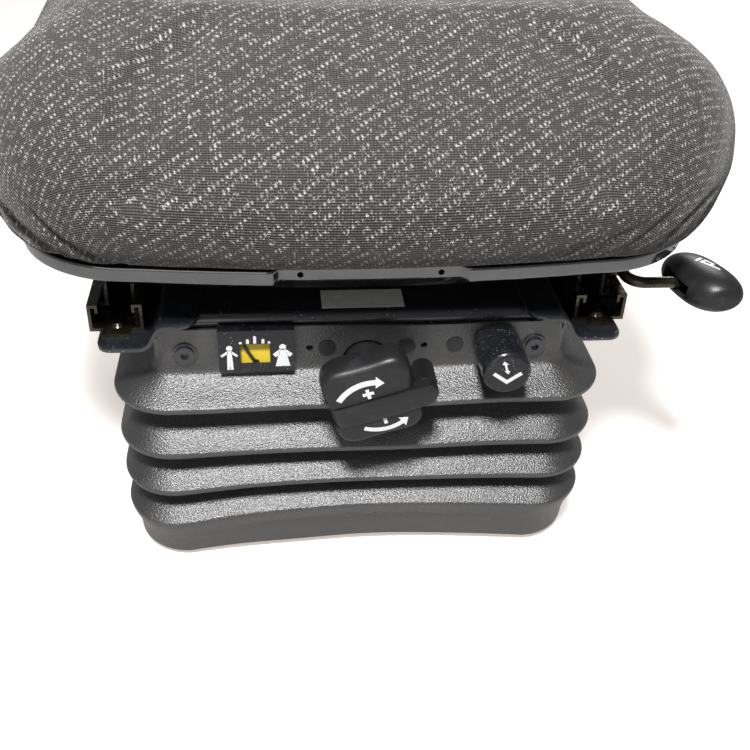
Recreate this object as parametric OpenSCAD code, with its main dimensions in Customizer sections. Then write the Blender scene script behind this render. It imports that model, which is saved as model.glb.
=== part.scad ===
// Tractor seat on a low scissor suspension with a rubber bellows.
// X points to the sitter's left, Y to the rear and Z up.
// The origin is the centre of the base's bolt pattern on its underside.

/* [Bellows] */
// Half width over the folds
bellows_hw = 175; // [165:1:190]
// Half depth over the folds
bellows_hd = 184; // [174:1:200]
// Corner radius at the fold edges
fold_corner_r = 42; // [38:1:50]
// Height of the top fold's edge
fold_top_z = 150; // [146:1:154]
// Drop from the first fold's edge to the second
fold_pitch_1 = 38.8; // [34:0.2:42]
// Drop from the second fold's edge to the third
fold_pitch_2 = 32.2; // [28:0.2:36]
// Drop from the third fold's edge to the fourth
fold_pitch_3 = 29.5; // [26:0.2:32]
// How far the valleys lie inside the fold edges
valley_inset = 27; // [22:0.5:28]
// Height of a valley above the edge below it
valley_rise = 18; // [14:0.5:20]
// Wall of the bellows, measured level
bellows_wall = 4.2; // [3:0.1:5]
// Half width of the collar
collar_hw = 143; // [142:0.5:144]
// Half depth of the collar
collar_hd = 160; // [158:0.5:161]
// Corner radius of the collar
collar_corner_r = 12; // [11:0.5:14]
// Wall of the collar
collar_wall = 3; // [2:0.1:4]
// Top of the collar
collar_top_z = 200; // [198:0.5:203]
// Bottom of the collar, where the first fold starts
collar_low_z = 166; // [162:0.5:170]
// Bottom edge of the skirt
skirt_low_z = 8; // [5:0.5:12]

/* [Base] */
// Sheet of the base tray
base_t = 3; // [2.5:0.1:4]
// Height of the tray's turned-up edge
base_edge_h = 20; // [16:0.5:24]
// Bolt spacing across the seat
bolt_span_x = 216; // [180:1:226]
// Bolt spacing fore and aft
bolt_span_y = 165; // [140:1:180]
// Radius of the four bolt holes
bolt_hole_r = 5.5; // [4.5:0.1:6.5]

/* [Scissor] */
// Length of an arm between its pivots
arm_len = 280; // [276:1:286]
// Height of the lower pivots
low_pivot_z = 17; // [16.5:0.1:19]
// Rise from the lower pivots to the upper ones
pivot_rise = 174; // [170:0.5:175]
// Rear pivots, fore and aft
pivot_y = 124; // [118:0.5:128]
// Height of an arm's flat bar
arm_h = 24; // [20:0.5:25]
// Thickness of an arm
arm_t = 5; // [4:0.1:6]
// Inner face of the inner arms
inner_arm_x = 106; // [104:0.5:107]
// Gap between an inner and an outer arm
arm_gap = 3; // [2:0.1:4]
// Radius of the rear pivot shafts
pivot_r = 8; // [6:0.1:9]
// Radius of the roller shafts
roller_shaft_r = 6; // [5:0.1:7]
// Radius of a roller
roller_r = 10; // [9:0.1:10.5]
// Width of a roller
roller_w = 9; // [7:0.1:9.5]
// Play of a roller in its track, above and below
roller_play = 1.5; // [1.3:0.1:1.8]
// Radial clearance of a running fit
running = 0.05; // [0.02:0.01:0.1]
// Radial clearance of the centre pins in the inner arms
centre_play = 1.5; // [1.3:0.1:1.8]
// Suspension travel
stroke = 60; // [40:1:60]

/* [Housing] */
// Top of the housing
housing_top_z = 208; // [207.5:0.1:210]
// Sheet of the housing
housing_t = 3; // [2:0.1:3.5]
// Bend radius of the housing's top edge
housing_bend_r = 7; // [4:0.1:9]
// Clearance between the collar and the housing
soft_gap = 0.3; // [0.2:0.05:0.6]

/* [Slide rails] */
// Rail centres from the middle
rail_x = 166.5; // [165:0.5:168]
// Width of a lower rail
rail_w = 36; // [35:0.5:37]
// Height of a lower rail
rail_h = 20; // [19:0.5:21]
// Sheet of the rails
rail_t = 2.2; // [1.8:0.1:2.5]
// Front end of the lower rails' walls
rail_front_y = -152; // [-155:1:-150]
// Rear end of the lower rails
rail_back_y = 140; // [132:1:148]
// Top of the outer wings of the rail brackets
wing_z = 195; // [194:0.5:197]
// Underside of the seat pan on the rails
pan_low_z = 228; // [227:0.5:230]

/* [Controls] */
// Weight knob centre, across
knob_x = 2; // [-4:0.5:6]
// Weight knob centre, height
knob_z = 171; // [170:0.5:173]
// Turn of the weight knob at rest
knob_turn = 17.4; // [0:0.1:30]
// Front face of the weight knob
knob_face_y = -211; // [-213:0.5:-210]
// Weight knob radius at its four lobes
knob_lobe_r = 38; // [36:0.5:40]
// Weight knob radius between its lobes
knob_side_r = 28.5; // [27.5:0.5:30]
// Radius of the knob's neck
knob_neck_r = 16; // [14:0.5:16.5]
// Height knob centre, across
height_x = 92; // [89:0.5:94]
// Height knob centre, height
height_z = 185.5; // [185:0.5:187]
// Height knob radius
height_r = 16.5; // [15:0.5:17.5]
// Front face of the height knob
height_face_y = -203; // [-203.5:0.5:-196]
// Lever rod radius
rod_r = 4; // [3:0.1:4.5]
// Lever rod's fore and aft run, from the middle
rod_x = 184; // [183:0.5:185]
// Lever rod's drop below the seat pan's dish
rod_drop = 5.2; // [5.1:0.1:6]
// Lever rod's cross run, fore and aft
rod_front_y = -153; // [-158:0.5:-150]

/* [Seat] */
// Half width of the pan's rim
pan_hw = 224; // [218:1:230]
// Front of the pan's rim at the middle
pan_front_y = -200; // [-204:1:-196]
// Rear of the pan's rim
pan_back_y = 215; // [205:1:225]
// Top of the pan's rim
rim_top_z = 263; // [261:0.5:266]
// Height of the pan's rim
rim_h = 11; // [9:0.5:13]
// Sheet of the pan
pan_t = 2; // [1.5:0.1:2.5]
// How far the cushion stands out past the rim
cushion_over = 26; // [18:1:30]
// Thickness of the cushion above the rim
cushion_h = 128; // [110:1:134]
// Lower edge of the backrest
back_low_z = 402; // [400:1:420]
// Height of the backrest
back_h = 380; // [340:1:420]
// Half width of the backrest
back_hw = 218; // [200:1:225]
// Thickness of the backrest cushion
back_t = 84; // [70:1:92]
// Lean of the backrest
back_lean = 8; // [4:0.5:10]

/* [Hidden] */
$fn = 48;
eps = 0.01;
beyond = 300;
blackish = [0.09, 0.09, 0.10];
steel_black = [0.13, 0.14, 0.18];
olive = [0.40, 0.37, 0.25];
bright = [0.72, 0.72, 0.74];

// The skirt and the base tray's edge follow the folds' outline
skirt_inset = valley_inset + 0.5;
skirt_wall = 3;
base_fit = 0.5;
base_inset = skirt_inset + skirt_wall + base_fit;
base_hw = bellows_hw - base_inset;
base_hd = bellows_hd - base_inset;
base_corner_r = fold_corner_r - base_inset;
fold_2_z = fold_top_z - fold_pitch_1;
fold_3_z = fold_2_z - fold_pitch_2;
fold_4_z = fold_3_z - fold_pitch_3;

// The housing fits inside the collar
housing_hw = collar_hw - collar_wall - soft_gap;
housing_hd = collar_hd - collar_wall - soft_gap;
housing_corner_r = collar_corner_r - collar_wall - soft_gap;
housing_back = -(housing_hd - housing_t);
housing_low_z = collar_low_z + 1;
plate_low_z = housing_top_z - housing_t;
collar_y = -collar_hd;

// Places on the scissor
arm_angle = asin(pivot_rise / arm_len);
arm_reach = arm_len * cos(arm_angle);
high_pivot_z = low_pivot_z + pivot_rise;
roller_y = pivot_y - arm_reach;
centre_y = (pivot_y + roller_y) / 2;
centre_z = (low_pivot_z + high_pivot_z) / 2;
outer_arm_x = inner_arm_x + arm_t + arm_gap;
arm_side_gap = 2.5;
roller_x = outer_arm_x + arm_t + arm_side_gap;
track_x = roller_x - 1;
track_web_x = roller_x + roller_w + 1.5;
track_t = 2.5;
track_cut = 2.4;
track_gap = roller_r + roller_play;
track_front_y = -(base_hd - base_t - 0.5);
track_back_y = pivot_y - 28;
ear_x = track_x + 4;
ear_t = 4;
ear_r = 13;
arm_eye_r = arm_h / 2;
arm_bar_h = arm_h - 2.4;
centre_pin_r = 6;

// Buffers and damper
buffer_x = 80;
buffer_y = -45;
buffer_r = 18;
buffer_h = 35;
stop_tube_r = 14;
damper_x = -80;
damper_y = 40;
damper_low_z = 18;
damper_high_z = housing_top_z - 24;
damper_tube_r = 14;
damper_rod_r = 5;
damper_top_z = damper_high_z - stroke - 20;
damper_floor_z = damper_low_z + 11;
damper_piston_z = damper_top_z - 12;

// Springs, spindle and yoke
spindle_r = 6;
spring_x = 40;
spring_z = high_pivot_z;
spring_coil_r = 9.8;
spring_wire_r = 2.2;
spring_turns = 14;
yoke_y = 72;
yoke_t = 10;
yoke_hw = spring_x + 10;
yoke_drop = 10;
yoke_pin_y = yoke_y - 10;
yoke_travel = 24;
bush_t = 6;

// Weight indicator
box_left = -99;
box_right = -48;
box_low = 171;
box_top = 203;
box_front_y = collar_y - 9;
window_left = -84.4;
window_right = -64.5;
window_low = 177;
window_top = 192.5;
needle_x = -74;
needle_z = 175.5;
needle_len = 16;
needle_lean = -30;

// Weight knob and crank, in the knob's own turned frame
knob_back_y = knob_face_y + 26;
crank_y = knob_face_y + 2.5;
crank_z = -4.5;
crank_h = 15;
crank_t = 8;
crank_pin_r = 1.5;
crank_pin_x = -24;
crank_grip_x = 36;
grip_r = 8;
grip_len = 26;
crank_play = 0.6;

// Fasteners on the collar
fastener_x = [-122, 120];
fastener_z = 181;
fastener_r = 4;
stud_x = [-25.5, 29.7, 63.6];
stud_z = 183;
pinhole_x = [-37.3, 41.9];

// Rails and brackets
tab_x = 111;
joggle_x = 137;
foot_x = 145;
wing_x = 178;
bracket_front_y = -175;
bracket_back_y = 150;
bracket_t = 3;
wing_low_z = wing_z - bracket_t;
rail_floor_z = wing_z + rail_t;
rail_top_z = wing_z + rail_h;
rail_play = 0.6;
upper_leg_x = 10.5;
lip_x = upper_leg_x + rail_play;
lip_drop = 6;
upper_foot_x = rail_w / 2 - rail_t - rail_play;
upper_foot_z = rail_floor_z + 1.8;
upper_front_y = -125;
upper_back_y = 172;
rail_bolt_y = [rail_front_y + 6, rail_back_y - 22];
rail_bolt_drop = 15;
rail_window_y = [-50, 0, 60];
pan_bolt_y = [-95, 110];
dish_low_z = pan_low_z + 2;
rod_z = dish_low_z - rod_drop;
guide_y = [-122, -58];
rod_back_y = guide_y[1] + 10;
lever_x = pan_hw + 10;
latch_pitch = 12;
latch_slot = 7;
latch_tooth = 5;

// Pan, cushion and backrest
rim_low_z = rim_top_z - rim_h;
pan_corner_r = 77;
pan_crown_r = 1085;
ledge = 9;
recess_hw = 58;
recess_d = 7;
dish_inset = 32;
cushion_low_z = rim_top_z + soft_gap;
cushion_front_r = 120;
cushion_swell = 8;
back_pivot_y = pan_back_y;
back_pivot_z = 330;
upright_x = 120;
upright_w = 40;
upright_bolt_dx = [-upright_w / 2 + 9, upright_w / 2 - 9];
upright_t = 6;
upright_len = 330;
shell_t = 4;

// A rectangle with round corners, given by half sizes
module rounded_rect(hw, hd, r) {
    square([2 * (hw - r), 2 * hd], center = true);
    square([2 * hw, 2 * (hd - r)], center = true);
    for (sx = [-1, 1], sy = [-1, 1])
        translate([sx * (hw - r), sy * (hd - r)]) circle(r = r);
}

// Sweeps a section of [inset, height] points round such a rectangle
module ring_sweep(section, hw, hd, r) {
    points = [for (p = section) [r - p[0], p[1]]];
    for (i = [0 : 3]) {
        along = (i % 2 == 0) ? hw - r : hd - r;
        across = (i % 2 == 0) ? hd - r : hw - r;
        rotate(90 * i) translate([along, across, 0]) {
            rotate_extrude(angle = 90) polygon(points);
            rotate([90, 0, 0]) linear_extrude(height = 2 * across) polygon(points);
        }
    }
}

// A cylinder along X between two places
module x_rod(x0, x1, y, z, r) {
    translate([x0, y, z]) rotate([0, 90, 0]) cylinder(h = x1 - x0, r = r);
}

// A cylinder along Y between two places
module y_rod(x, y0, y1, z, r) {
    translate([x, y1, z]) rotate([90, 0, 0]) cylinder(h = y1 - y0, r = r);
}

// Extrudes a Y-Z outline from x0 to x1
module side_plate(x0, x1) {
    translate([x0, 0, 0]) rotate([90, 0, 90]) linear_extrude(height = x1 - x0) children();
}

// Extrudes an X-Z outline from y0 to y1
module front_plate(y0, y1) {
    translate([0, y1, 0]) rotate([90, 0, 0]) linear_extrude(height = y1 - y0) children();
}

module knob_frame() {
    translate([knob_x, 0, knob_z]) rotate([0, -knob_turn, 0]) children();
}

// Section of the folds as [inset, height]: first the outside, then the inside
function fold_edge(z) = [[1, z + 1.6], [0, z], [1, z - 2.2]];
valley_1_z = fold_2_z + valley_rise;
valley_2_z = fold_3_z + valley_rise - 3;
valley_3_z = fold_4_z + valley_rise - 4;
folds_outside = concat(
    [[5, fold_top_z + 2.4]], fold_edge(fold_top_z), [[valley_inset, valley_1_z]],
    fold_edge(fold_2_z), [[valley_inset, valley_2_z]],
    fold_edge(fold_3_z), [[valley_inset, valley_3_z]],
    fold_edge(fold_4_z), [[valley_inset - 8, fold_4_z - 11], [skirt_inset, skirt_low_z]]);
inner_edge = bellows_wall + 0.8;
inner_valley = valley_inset + bellows_wall;
folds_inside = [
    [skirt_inset + skirt_wall, skirt_low_z], [valley_inset - 8 + skirt_wall, fold_4_z - 9],
    [inner_edge, fold_4_z - 0.3], [inner_valley, valley_3_z],
    [inner_edge, fold_3_z - 0.3], [inner_valley, valley_2_z],
    [inner_edge, fold_2_z - 0.3], [inner_valley, valley_1_z],
    [inner_edge, fold_top_z - 0.3]];

// Solid between the collar's outline and the top fold's
module shoulder(inset, drop) {
    e = inset + 1.2;
    hull() {
        translate([0, 0, collar_low_z - drop - 0.5]) linear_extrude(height = 0.5)
            rounded_rect(collar_hw - inset, collar_hd - inset, collar_corner_r - inset);
        translate([0, 0, fold_top_z + 0.8 - drop]) linear_extrude(height = 0.4)
            rounded_rect(bellows_hw - e, bellows_hd - e, fold_corner_r - e);
    }
}

module collar() {
    linear_extrude(height = collar_top_z - collar_low_z + 2) difference() {
        rounded_rect(collar_hw, collar_hd, collar_corner_r);
        rounded_rect(collar_hw - collar_wall, collar_hd - collar_wall,
                     collar_corner_r - collar_wall);
    }
}

module bellows() {
    y0 = collar_y - 4;
    y1 = collar_y + 8;
    knob_gap = knob_neck_r + 2.5;
    color(blackish) {
        ring_sweep(concat(folds_outside, folds_inside), bellows_hw, bellows_hd, fold_corner_r);
        difference() {
            shoulder(0, 0);
            shoulder(collar_wall, 1.6);
            linear_extrude(height = beyond) rounded_rect(collar_hw - collar_wall,
                collar_hd - collar_wall, collar_corner_r - collar_wall);
            linear_extrude(height = fold_top_z + 0.2)
                rounded_rect(bellows_hw - 5, bellows_hd - 5, fold_corner_r - 5);
            translate([knob_x - knob_gap, -bellows_hd + 1, knob_z - knob_gap])
                cube([2 * knob_gap, bellows_hd, knob_gap]);
        }
        difference() {
            translate([0, 0, collar_low_z - 2]) collar();
            y_rod(knob_x, y0, y1, knob_z, knob_neck_r + 1.5);
            y_rod(height_x, y0, y1, height_z, 8);
            for (x = fastener_x) y_rod(x, y0, y1, fastener_z, fastener_r + 0.3);
            for (x = stud_x) y_rod(x, y0, y1, stud_z, 3.3);
            for (x = pinhole_x) y_rod(x, y0, y1, stud_z, 2.3);
            for (side = [-1, 1])
                translate([side * (joggle_x + 8) - 9, collar_y + 3, wing_low_z - 1])
                    cube([18, 2 * collar_hd, 30]);
        }
    }
}

module pivot_ear(side, z0, z1, pivot_z) {
    x0 = side > 0 ? ear_x : -ear_x - ear_t;
    difference() {
        union() {
            translate([x0, pivot_y - ear_r, z0]) cube([ear_t, 2 * ear_r, z1 - z0]);
            x_rod(x0, x0 + ear_t, pivot_y, pivot_z, ear_r - 1);
        }
        x_rod(x0 - 1, x0 + ear_t + 1, pivot_y, pivot_z, pivot_r + running);
    }
}

module clevis(z0, z1, pin_z) {
    for (side = [-1, 1])
        difference() {
            translate([damper_x + side * 10.5 - 1.5, damper_y - 9, z0]) cube([3, 18, z1 - z0]);
            x_rod(damper_x - 20, damper_x + 20, damper_y, pin_z, 5 + running);
        }
}

module base_plate() {
    color(steel_black) {
        difference() {
            linear_extrude(height = base_edge_h) rounded_rect(base_hw, base_hd, base_corner_r);
            translate([0, 0, base_t]) linear_extrude(height = base_edge_h)
                rounded_rect(base_hw - base_t, base_hd - base_t, base_corner_r - base_t);
            for (sx = [-1, 1], sy = [-1, 1])
                translate([sx * bolt_span_x / 2, sy * bolt_span_y / 2, -1])
                    cylinder(h = base_t + 2, r = bolt_hole_r);
            for (sy = [-1, 1])
                translate([0, sy * 62, -1]) cylinder(h = base_t + 2, r = 30);
        }
        for (side = [-1, 1]) pivot_ear(side, base_t, low_pivot_z, low_pivot_z);
        clevis(base_t, damper_low_z + 6.5, damper_low_z);
    }
}

// A roller track of C section, open towards the middle
module track(side, axis_z) {
    low = axis_z - track_gap;
    high = axis_z + track_gap;
    outer = track_web_x + track_t;
    outline = [[track_x, low - track_t], [outer - track_cut, low - track_t], [outer, low - track_t + track_cut],
               [outer, high + track_t - track_cut], [outer - track_cut, high + track_t],
               [track_x, high + track_t], [track_x, high], [track_web_x, high],
               [track_web_x, low], [track_x, low]];
    color(steel_black) mirror([side < 0 ? 1 : 0, 0, 0])
        front_plate(track_front_y, track_back_y) polygon(outline);
}

module buffer_at(side) {
    translate([side * buffer_x, buffer_y, base_t]) {
        cylinder(h = buffer_h - 10, r = buffer_r);
        translate([0, 0, buffer_h - 10]) cylinder(h = 10, r1 = buffer_r, r2 = buffer_r - 6);
    }
}

module bump_stops() {
    color(blackish) for (side = [-1, 1]) buffer_at(side);
}

module stop_tubes() {
    low = base_t + buffer_h + stroke + 2;
    color(steel_black) for (side = [-1, 1])
        translate([side * buffer_x, buffer_y, low]) difference() {
            cylinder(h = plate_low_z - low, r = stop_tube_r);
            translate([0, 0, 3]) cylinder(h = plate_low_z - low, r = stop_tube_r - 2);
        }
}

module damper_tube() {
    color(steel_black) difference() {
        union() {
            translate([damper_x, damper_y, damper_low_z + 7])
                cylinder(h = damper_top_z - damper_low_z - 7, r = damper_tube_r);
            x_rod(damper_x - 8.5, damper_x + 8.5, damper_y, damper_low_z, 9);
        }
        translate([damper_x, damper_y, damper_floor_z])
            cylinder(h = damper_top_z - damper_floor_z - 4, r = damper_tube_r - 1.5);
        translate([damper_x, damper_y, damper_top_z - 6]) cylinder(h = 8, r = damper_rod_r + running);
        x_rod(damper_x - 10, damper_x + 10, damper_y, damper_low_z, 5 + running);
    }
}

module damper_rod() {
    color(bright) difference() {
        union() {
            translate([damper_x, damper_y, damper_piston_z])
                cylinder(h = damper_high_z - damper_piston_z, r = damper_rod_r);
            translate([damper_x, damper_y, damper_piston_z])
                cylinder(h = 6, r = damper_tube_r - 1.5 - running);
            x_rod(damper_x - 8.5, damper_x + 8.5, damper_y, damper_high_z, 9);
        }
        x_rod(damper_x - 10, damper_x + 10, damper_y, damper_high_z, 5 + running);
    }
}

module damper_pin(z) {
    color(bright) {
        x_rod(damper_x - 13.5, damper_x + 13.5, damper_y, z, 5);
        for (x = [damper_x - 15, damper_x + 12])
            x_rod(x, x + 3, damper_y, z, 7);
    }
}

// Flat bar of an arm in the Y-Z plane; the bores take the shafts at its ends
module arm_bar(rear_z, front_z, hole_r) {
    run = roller_y - pivot_y;
    rise = front_z - rear_z;
    difference() {
        union() {
            translate([pivot_y, rear_z]) rotate(atan2(rise, run))
                translate([0, -arm_bar_h / 2]) square([arm_len, arm_bar_h]);
            translate([pivot_y, rear_z]) circle(r = arm_eye_r);
            translate([roller_y, front_z]) circle(r = arm_eye_r);
        }
        translate([pivot_y, rear_z]) circle(r = pivot_r);
        translate([roller_y, front_z]) circle(r = roller_shaft_r);
        translate([centre_y, centre_z]) circle(r = hole_r);
    }
}

module outer_arm(side) {
    x0 = side > 0 ? outer_arm_x : -outer_arm_x - arm_t;
    color(steel_black) side_plate(x0, x0 + arm_t)
        arm_bar(low_pivot_z, high_pivot_z, centre_pin_r);
}

module inner_arm(side) {
    x0 = side > 0 ? inner_arm_x : -inner_arm_x - arm_t;
    color(steel_black) side_plate(x0, x0 + arm_t)
        arm_bar(high_pivot_z, low_pivot_z, centre_pin_r + centre_play);
}

module cross_shaft(y, z, r, half) {
    color(bright) x_rod(-half, half, y, z, r);
}

module centre_pins() {
    color(bright) for (side = [-1, 1]) {
        x0 = side > 0 ? inner_arm_x - 2 : -outer_arm_x - arm_t;
        length = outer_arm_x + arm_t - inner_arm_x + 2;
        x_rod(x0, x0 + length, centre_y, centre_z, centre_pin_r);
        head = side > 0 ? inner_arm_x - 5 : -inner_arm_x + 2;
        x_rod(head, head + 3, centre_y, centre_z, centre_pin_r + 4);
    }
}

module rollers(z) {
    color([0.85, 0.84, 0.80]) for (side = [-1, 1]) {
        x0 = side > 0 ? roller_x : -roller_x - roller_w;
        difference() {
            x_rod(x0, x0 + roller_w, roller_y, z, roller_r);
            x_rod(x0 - 1, x0 + roller_w + 1, roller_y, z, roller_shaft_r + running);
        }
    }
}

module upper_housing() {
    r = housing_corner_r;
    b = housing_bend_r;
    bend = [for (a = [0 : 15 : 90]) [b - b * sin(90 - a), housing_top_z - b + b * sin(a)]];
    inner = b - housing_t;
    inner_bend = [for (a = [90 : -15 : 0])
        [b - inner * sin(90 - a), housing_top_z - b + inner * sin(a)]];
    section = concat([[0, housing_low_z]], bend, inner_bend, [[housing_t, housing_low_z]]);
    color(steel_black) {
        difference() {
            union() {
                ring_sweep(section, housing_hw, housing_hd, r);
                translate([0, 0, plate_low_z]) linear_extrude(height = housing_t)
                    rounded_rect(housing_hw - b, housing_hd - b, r - b);
            }
            y_rod(knob_x, collar_y - 1, collar_y + 9, knob_z, knob_neck_r + 1.5);
            y_rod(height_x, collar_y - 1, collar_y + 9, height_z, 5 + running);
            for (x = fastener_x)
                y_rod(x, collar_y - 1, collar_y + 9, fastener_z, fastener_r);
            for (x = stud_x)
                y_rod(x, collar_y - 1, collar_y + 9, stud_z, 3);
            for (sy = [-1, 1])
                translate([0, sy * 60 + 10, plate_low_z - 1]) cylinder(h = housing_t + 2, r = 24);
        }
        for (side = [-1, 1]) pivot_ear(side, high_pivot_z, plate_low_z, high_pivot_z);
        clevis(damper_high_z - 9, plate_low_z, damper_high_z);
    }
}

// Coil spring along Y with six-sided wire
module coil(length, turns, coil_r, wire_r) {
    steps = 12;
    sides = 6;
    n = turns * steps;
    ring = [for (i = [0 : n]) let (a = 360 * i / steps, y = length * i / n)
        for (j = [0 : sides - 1]) let (b = 360 * j / sides, q = coil_r + wire_r * cos(b))
            [q * cos(a), y + wire_r * sin(b), q * sin(a)]];
    side_faces = [for (i = [0 : n - 1], j = [0 : sides - 1]) let (k = (j + 1) % sides)
        [(i + 1) * sides + j, (i + 1) * sides + k, i * sides + k, i * sides + j]];
    caps = [[for (j = [0 : sides - 1]) j], [for (j = [sides - 1 : -1 : 0]) n * sides + j]];
    polyhedron(points = ring, faces = concat(side_faces, caps), convexity = 10);
}

module spring_eye(x, y, inner_r) {
    translate([x, y, spring_z]) rotate([0, 90, 0]) rotate_extrude()
        translate([inner_r + spring_wire_r, 0]) circle(r = spring_wire_r, $fn = 16);
}

module tension_springs() {
    front_r = roller_shaft_r + 0.8;
    rear_r = 4;
    front = roller_y + front_r + 2 * spring_wire_r - 0.5;
    rear = yoke_pin_y - rear_r - 2 * spring_wire_r + 0.5;
    color(bright) for (side = [-1, 1]) {
        x = side * spring_x;
        translate([x, front + spring_wire_r + 1.5, spring_z])
            coil(rear - front - 2 * spring_wire_r - 3, spring_turns, spring_coil_r, spring_wire_r);
        for (y = [front, rear - 3])
            y_rod(x, y, y + 3, spring_z, spring_coil_r + spring_wire_r);
        spring_eye(x, roller_y, front_r);
        spring_eye(x, yoke_pin_y, rear_r);
    }
}

module collar_fasteners() {
    color(blackish) for (x = fastener_x) difference() {
        union() {
            y_rod(x, collar_y - 2.2, collar_y - 0.2, fastener_z, 8.5);
            y_rod(x, collar_y - 4.2, collar_y - 2, fastener_z, 6.5);
            y_rod(x, collar_y - 1, housing_back + 3, fastener_z, fastener_r);
        }
        translate([x, collar_y - 1.6, fastener_z]) rotate([90, 0, 0])
            cylinder(h = 4, r = 2.9, $fn = 6);
    }
}

module collar_studs() {
    color(blackish) for (x = stud_x) {
        y_rod(x, collar_y - 1.4, collar_y - 0.2, stud_z, 6);
        y_rod(x, collar_y - 1, housing_back + 2, stud_z, 3);
    }
}

module indicator_box() {
    color(blackish) difference() {
        translate([box_left, box_front_y, box_low])
            cube([box_right - box_left, collar_y - box_front_y - soft_gap, box_top - box_low]);
        translate([window_left - 7.6, box_front_y + 1.2, box_low + 1.5])
            cube([window_right - window_left + 16.1, 5.2, box_top - box_low - 6]);
        translate([window_left, box_front_y - 1, window_low])
            cube([window_right - window_left, 4, window_top - window_low]);
    }
}

module indicator_dial() {
    color([0.86, 0.74, 0.18]) difference() {
        translate([-91.5, box_front_y + 4.9, 173]) cube([35, 1.3, 25]);
        y_rod(needle_x, box_front_y, collar_y, needle_z, 1 + running);
    }
}

module indicator_needle() {
    color(blackish) {
        y_rod(needle_x, box_front_y + 2.4, box_front_y + 5.9, needle_z, 1);
        y_rod(needle_x, box_front_y + 2.4, box_front_y + 3.8, needle_z, 2.4);
        translate([needle_x, box_front_y + 3.4, needle_z]) rotate([0, needle_lean, 0])
            translate([-0.9, -0.5, 0]) cube([1.8, 1, needle_len]);
    }
}

module spindle() {
    color(bright) y_rod(knob_x, knob_face_y + 14, yoke_y + yoke_t + yoke_travel + 6,
                        knob_z, spindle_r);
}

module spindle_bush() {
    color(steel_black) difference() {
        y_rod(knob_x, housing_back, housing_back + bush_t, knob_z, 24);
        y_rod(knob_x, housing_back - 1, housing_back + bush_t + 1, knob_z, spindle_r + running);
    }
}

module spring_yoke() {
    color(steel_black) difference() {
        union() {
            translate([-yoke_hw, yoke_y, knob_z - yoke_drop])
                cube([2 * yoke_hw, yoke_t, plate_low_z - 2 - knob_z + yoke_drop]);
            for (side = [-1, 1]) {
                for (dx = [-6, 3.2])
                    translate([side * spring_x + dx, yoke_pin_y - 6, spring_z - 8])
                        cube([2.8, yoke_y - yoke_pin_y + 7, 16]);
                x_rod(side * spring_x - 6, side * spring_x + 6, yoke_pin_y, spring_z, 3.4);
            }
        }
        y_rod(knob_x, yoke_y - 1, yoke_y + yoke_t + 1, knob_z, spindle_r + running);
    }
}

// Outline of the four-lobed knob, with flats between its lobes
module lobed(grow) {
    polygon([for (a = [0 : 6 : 354])
        let (r = grow * (knob_side_r + (knob_lobe_r - knob_side_r) * (1 - cos(4 * a)) / 2))
            [r * cos(a), r * sin(a)]]);
}

module weight_knob() {
    shoulder = 6;
    crown = 5;
    body = knob_back_y - knob_face_y - shoulder - crown;
    neck = knob_neck_r / knob_side_r;
    color(blackish) knob_frame() difference() {
        union() {
            translate([0, knob_back_y, 0]) rotate([90, 0, 0]) {
                linear_extrude(height = shoulder, scale = 1 / neck) lobed(neck);
                translate([0, 0, shoulder]) linear_extrude(height = body) lobed(1);
                translate([0, 0, shoulder + body])
                    linear_extrude(height = crown, scale = 0.9) lobed(1);
            }
            y_rod(0, knob_back_y - shoulder, housing_back - housing_t, 0, knob_neck_r);
        }
        y_rod(0, knob_face_y + 13, collar_y + 10, 0, spindle_r);
        translate([-50, knob_face_y - 5, crank_z - crank_h / 2 - crank_play])
            cube([100, 5 + crank_y - knob_face_y + crank_t / 2 + crank_play,
                  crank_h + 2 * crank_play]);
        y_rod(crank_grip_x, knob_face_y - 5, knob_back_y + 10, crank_z, grip_r + 1);
        translate([crank_pin_x, crank_y, -50]) cylinder(h = 100, r = crank_pin_r);
    }
}

module crank_pin() {
    color([0.75, 0.6, 0.25]) knob_frame()
        translate([crank_pin_x, crank_y, crank_z - 18]) cylinder(h = 38, r = crank_pin_r);
}

module crank_arm() {
    x0 = crank_pin_x;
    color([0.16, 0.16, 0.17]) knob_frame() difference() {
        union() {
            translate([x0, crank_y - crank_t / 2, crank_z - crank_h / 2])
                cube([crank_grip_x - x0, crank_t, crank_h]);
            translate([x0, crank_y, crank_z - crank_h / 2])
                cylinder(h = crank_h, r = crank_t / 2);
            y_rod(crank_grip_x, crank_y - crank_t / 2, crank_y + crank_t / 2, crank_z,
                  crank_h / 2);
        }
        translate([x0, crank_y, -50]) cylinder(h = 100, r = crank_pin_r + running);
        y_rod(crank_grip_x, crank_y - crank_t / 2 + 2, crank_y + crank_t, crank_z, 2.5);
    }
}

module grip_pin() {
    y0 = crank_y - crank_t / 2 + 2;
    color(bright) knob_frame()
        y_rod(crank_grip_x, y0, crank_y + crank_t / 2 + grip_len - 4, crank_z, 2.5);
}

module crank_grip() {
    y0 = crank_y + crank_t / 2 + 0.4;
    ribs = 24;
    color([0.16, 0.16, 0.17]) knob_frame() difference() {
        union() {
            y_rod(crank_grip_x, y0, y0 + grip_len, crank_z, grip_r - 0.4);
            for (i = [0 : ribs - 1])
                translate([crank_grip_x, y0 + 2, crank_z]) rotate([0, 360 * i / ribs, 0])
                    translate([-0.5, 0, 0]) cube([1, grip_len - 5, grip_r]);
        }
        y_rod(crank_grip_x, y0 - 1, y0 + grip_len - 3, crank_z, 2.5 + running);
    }
}

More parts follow.
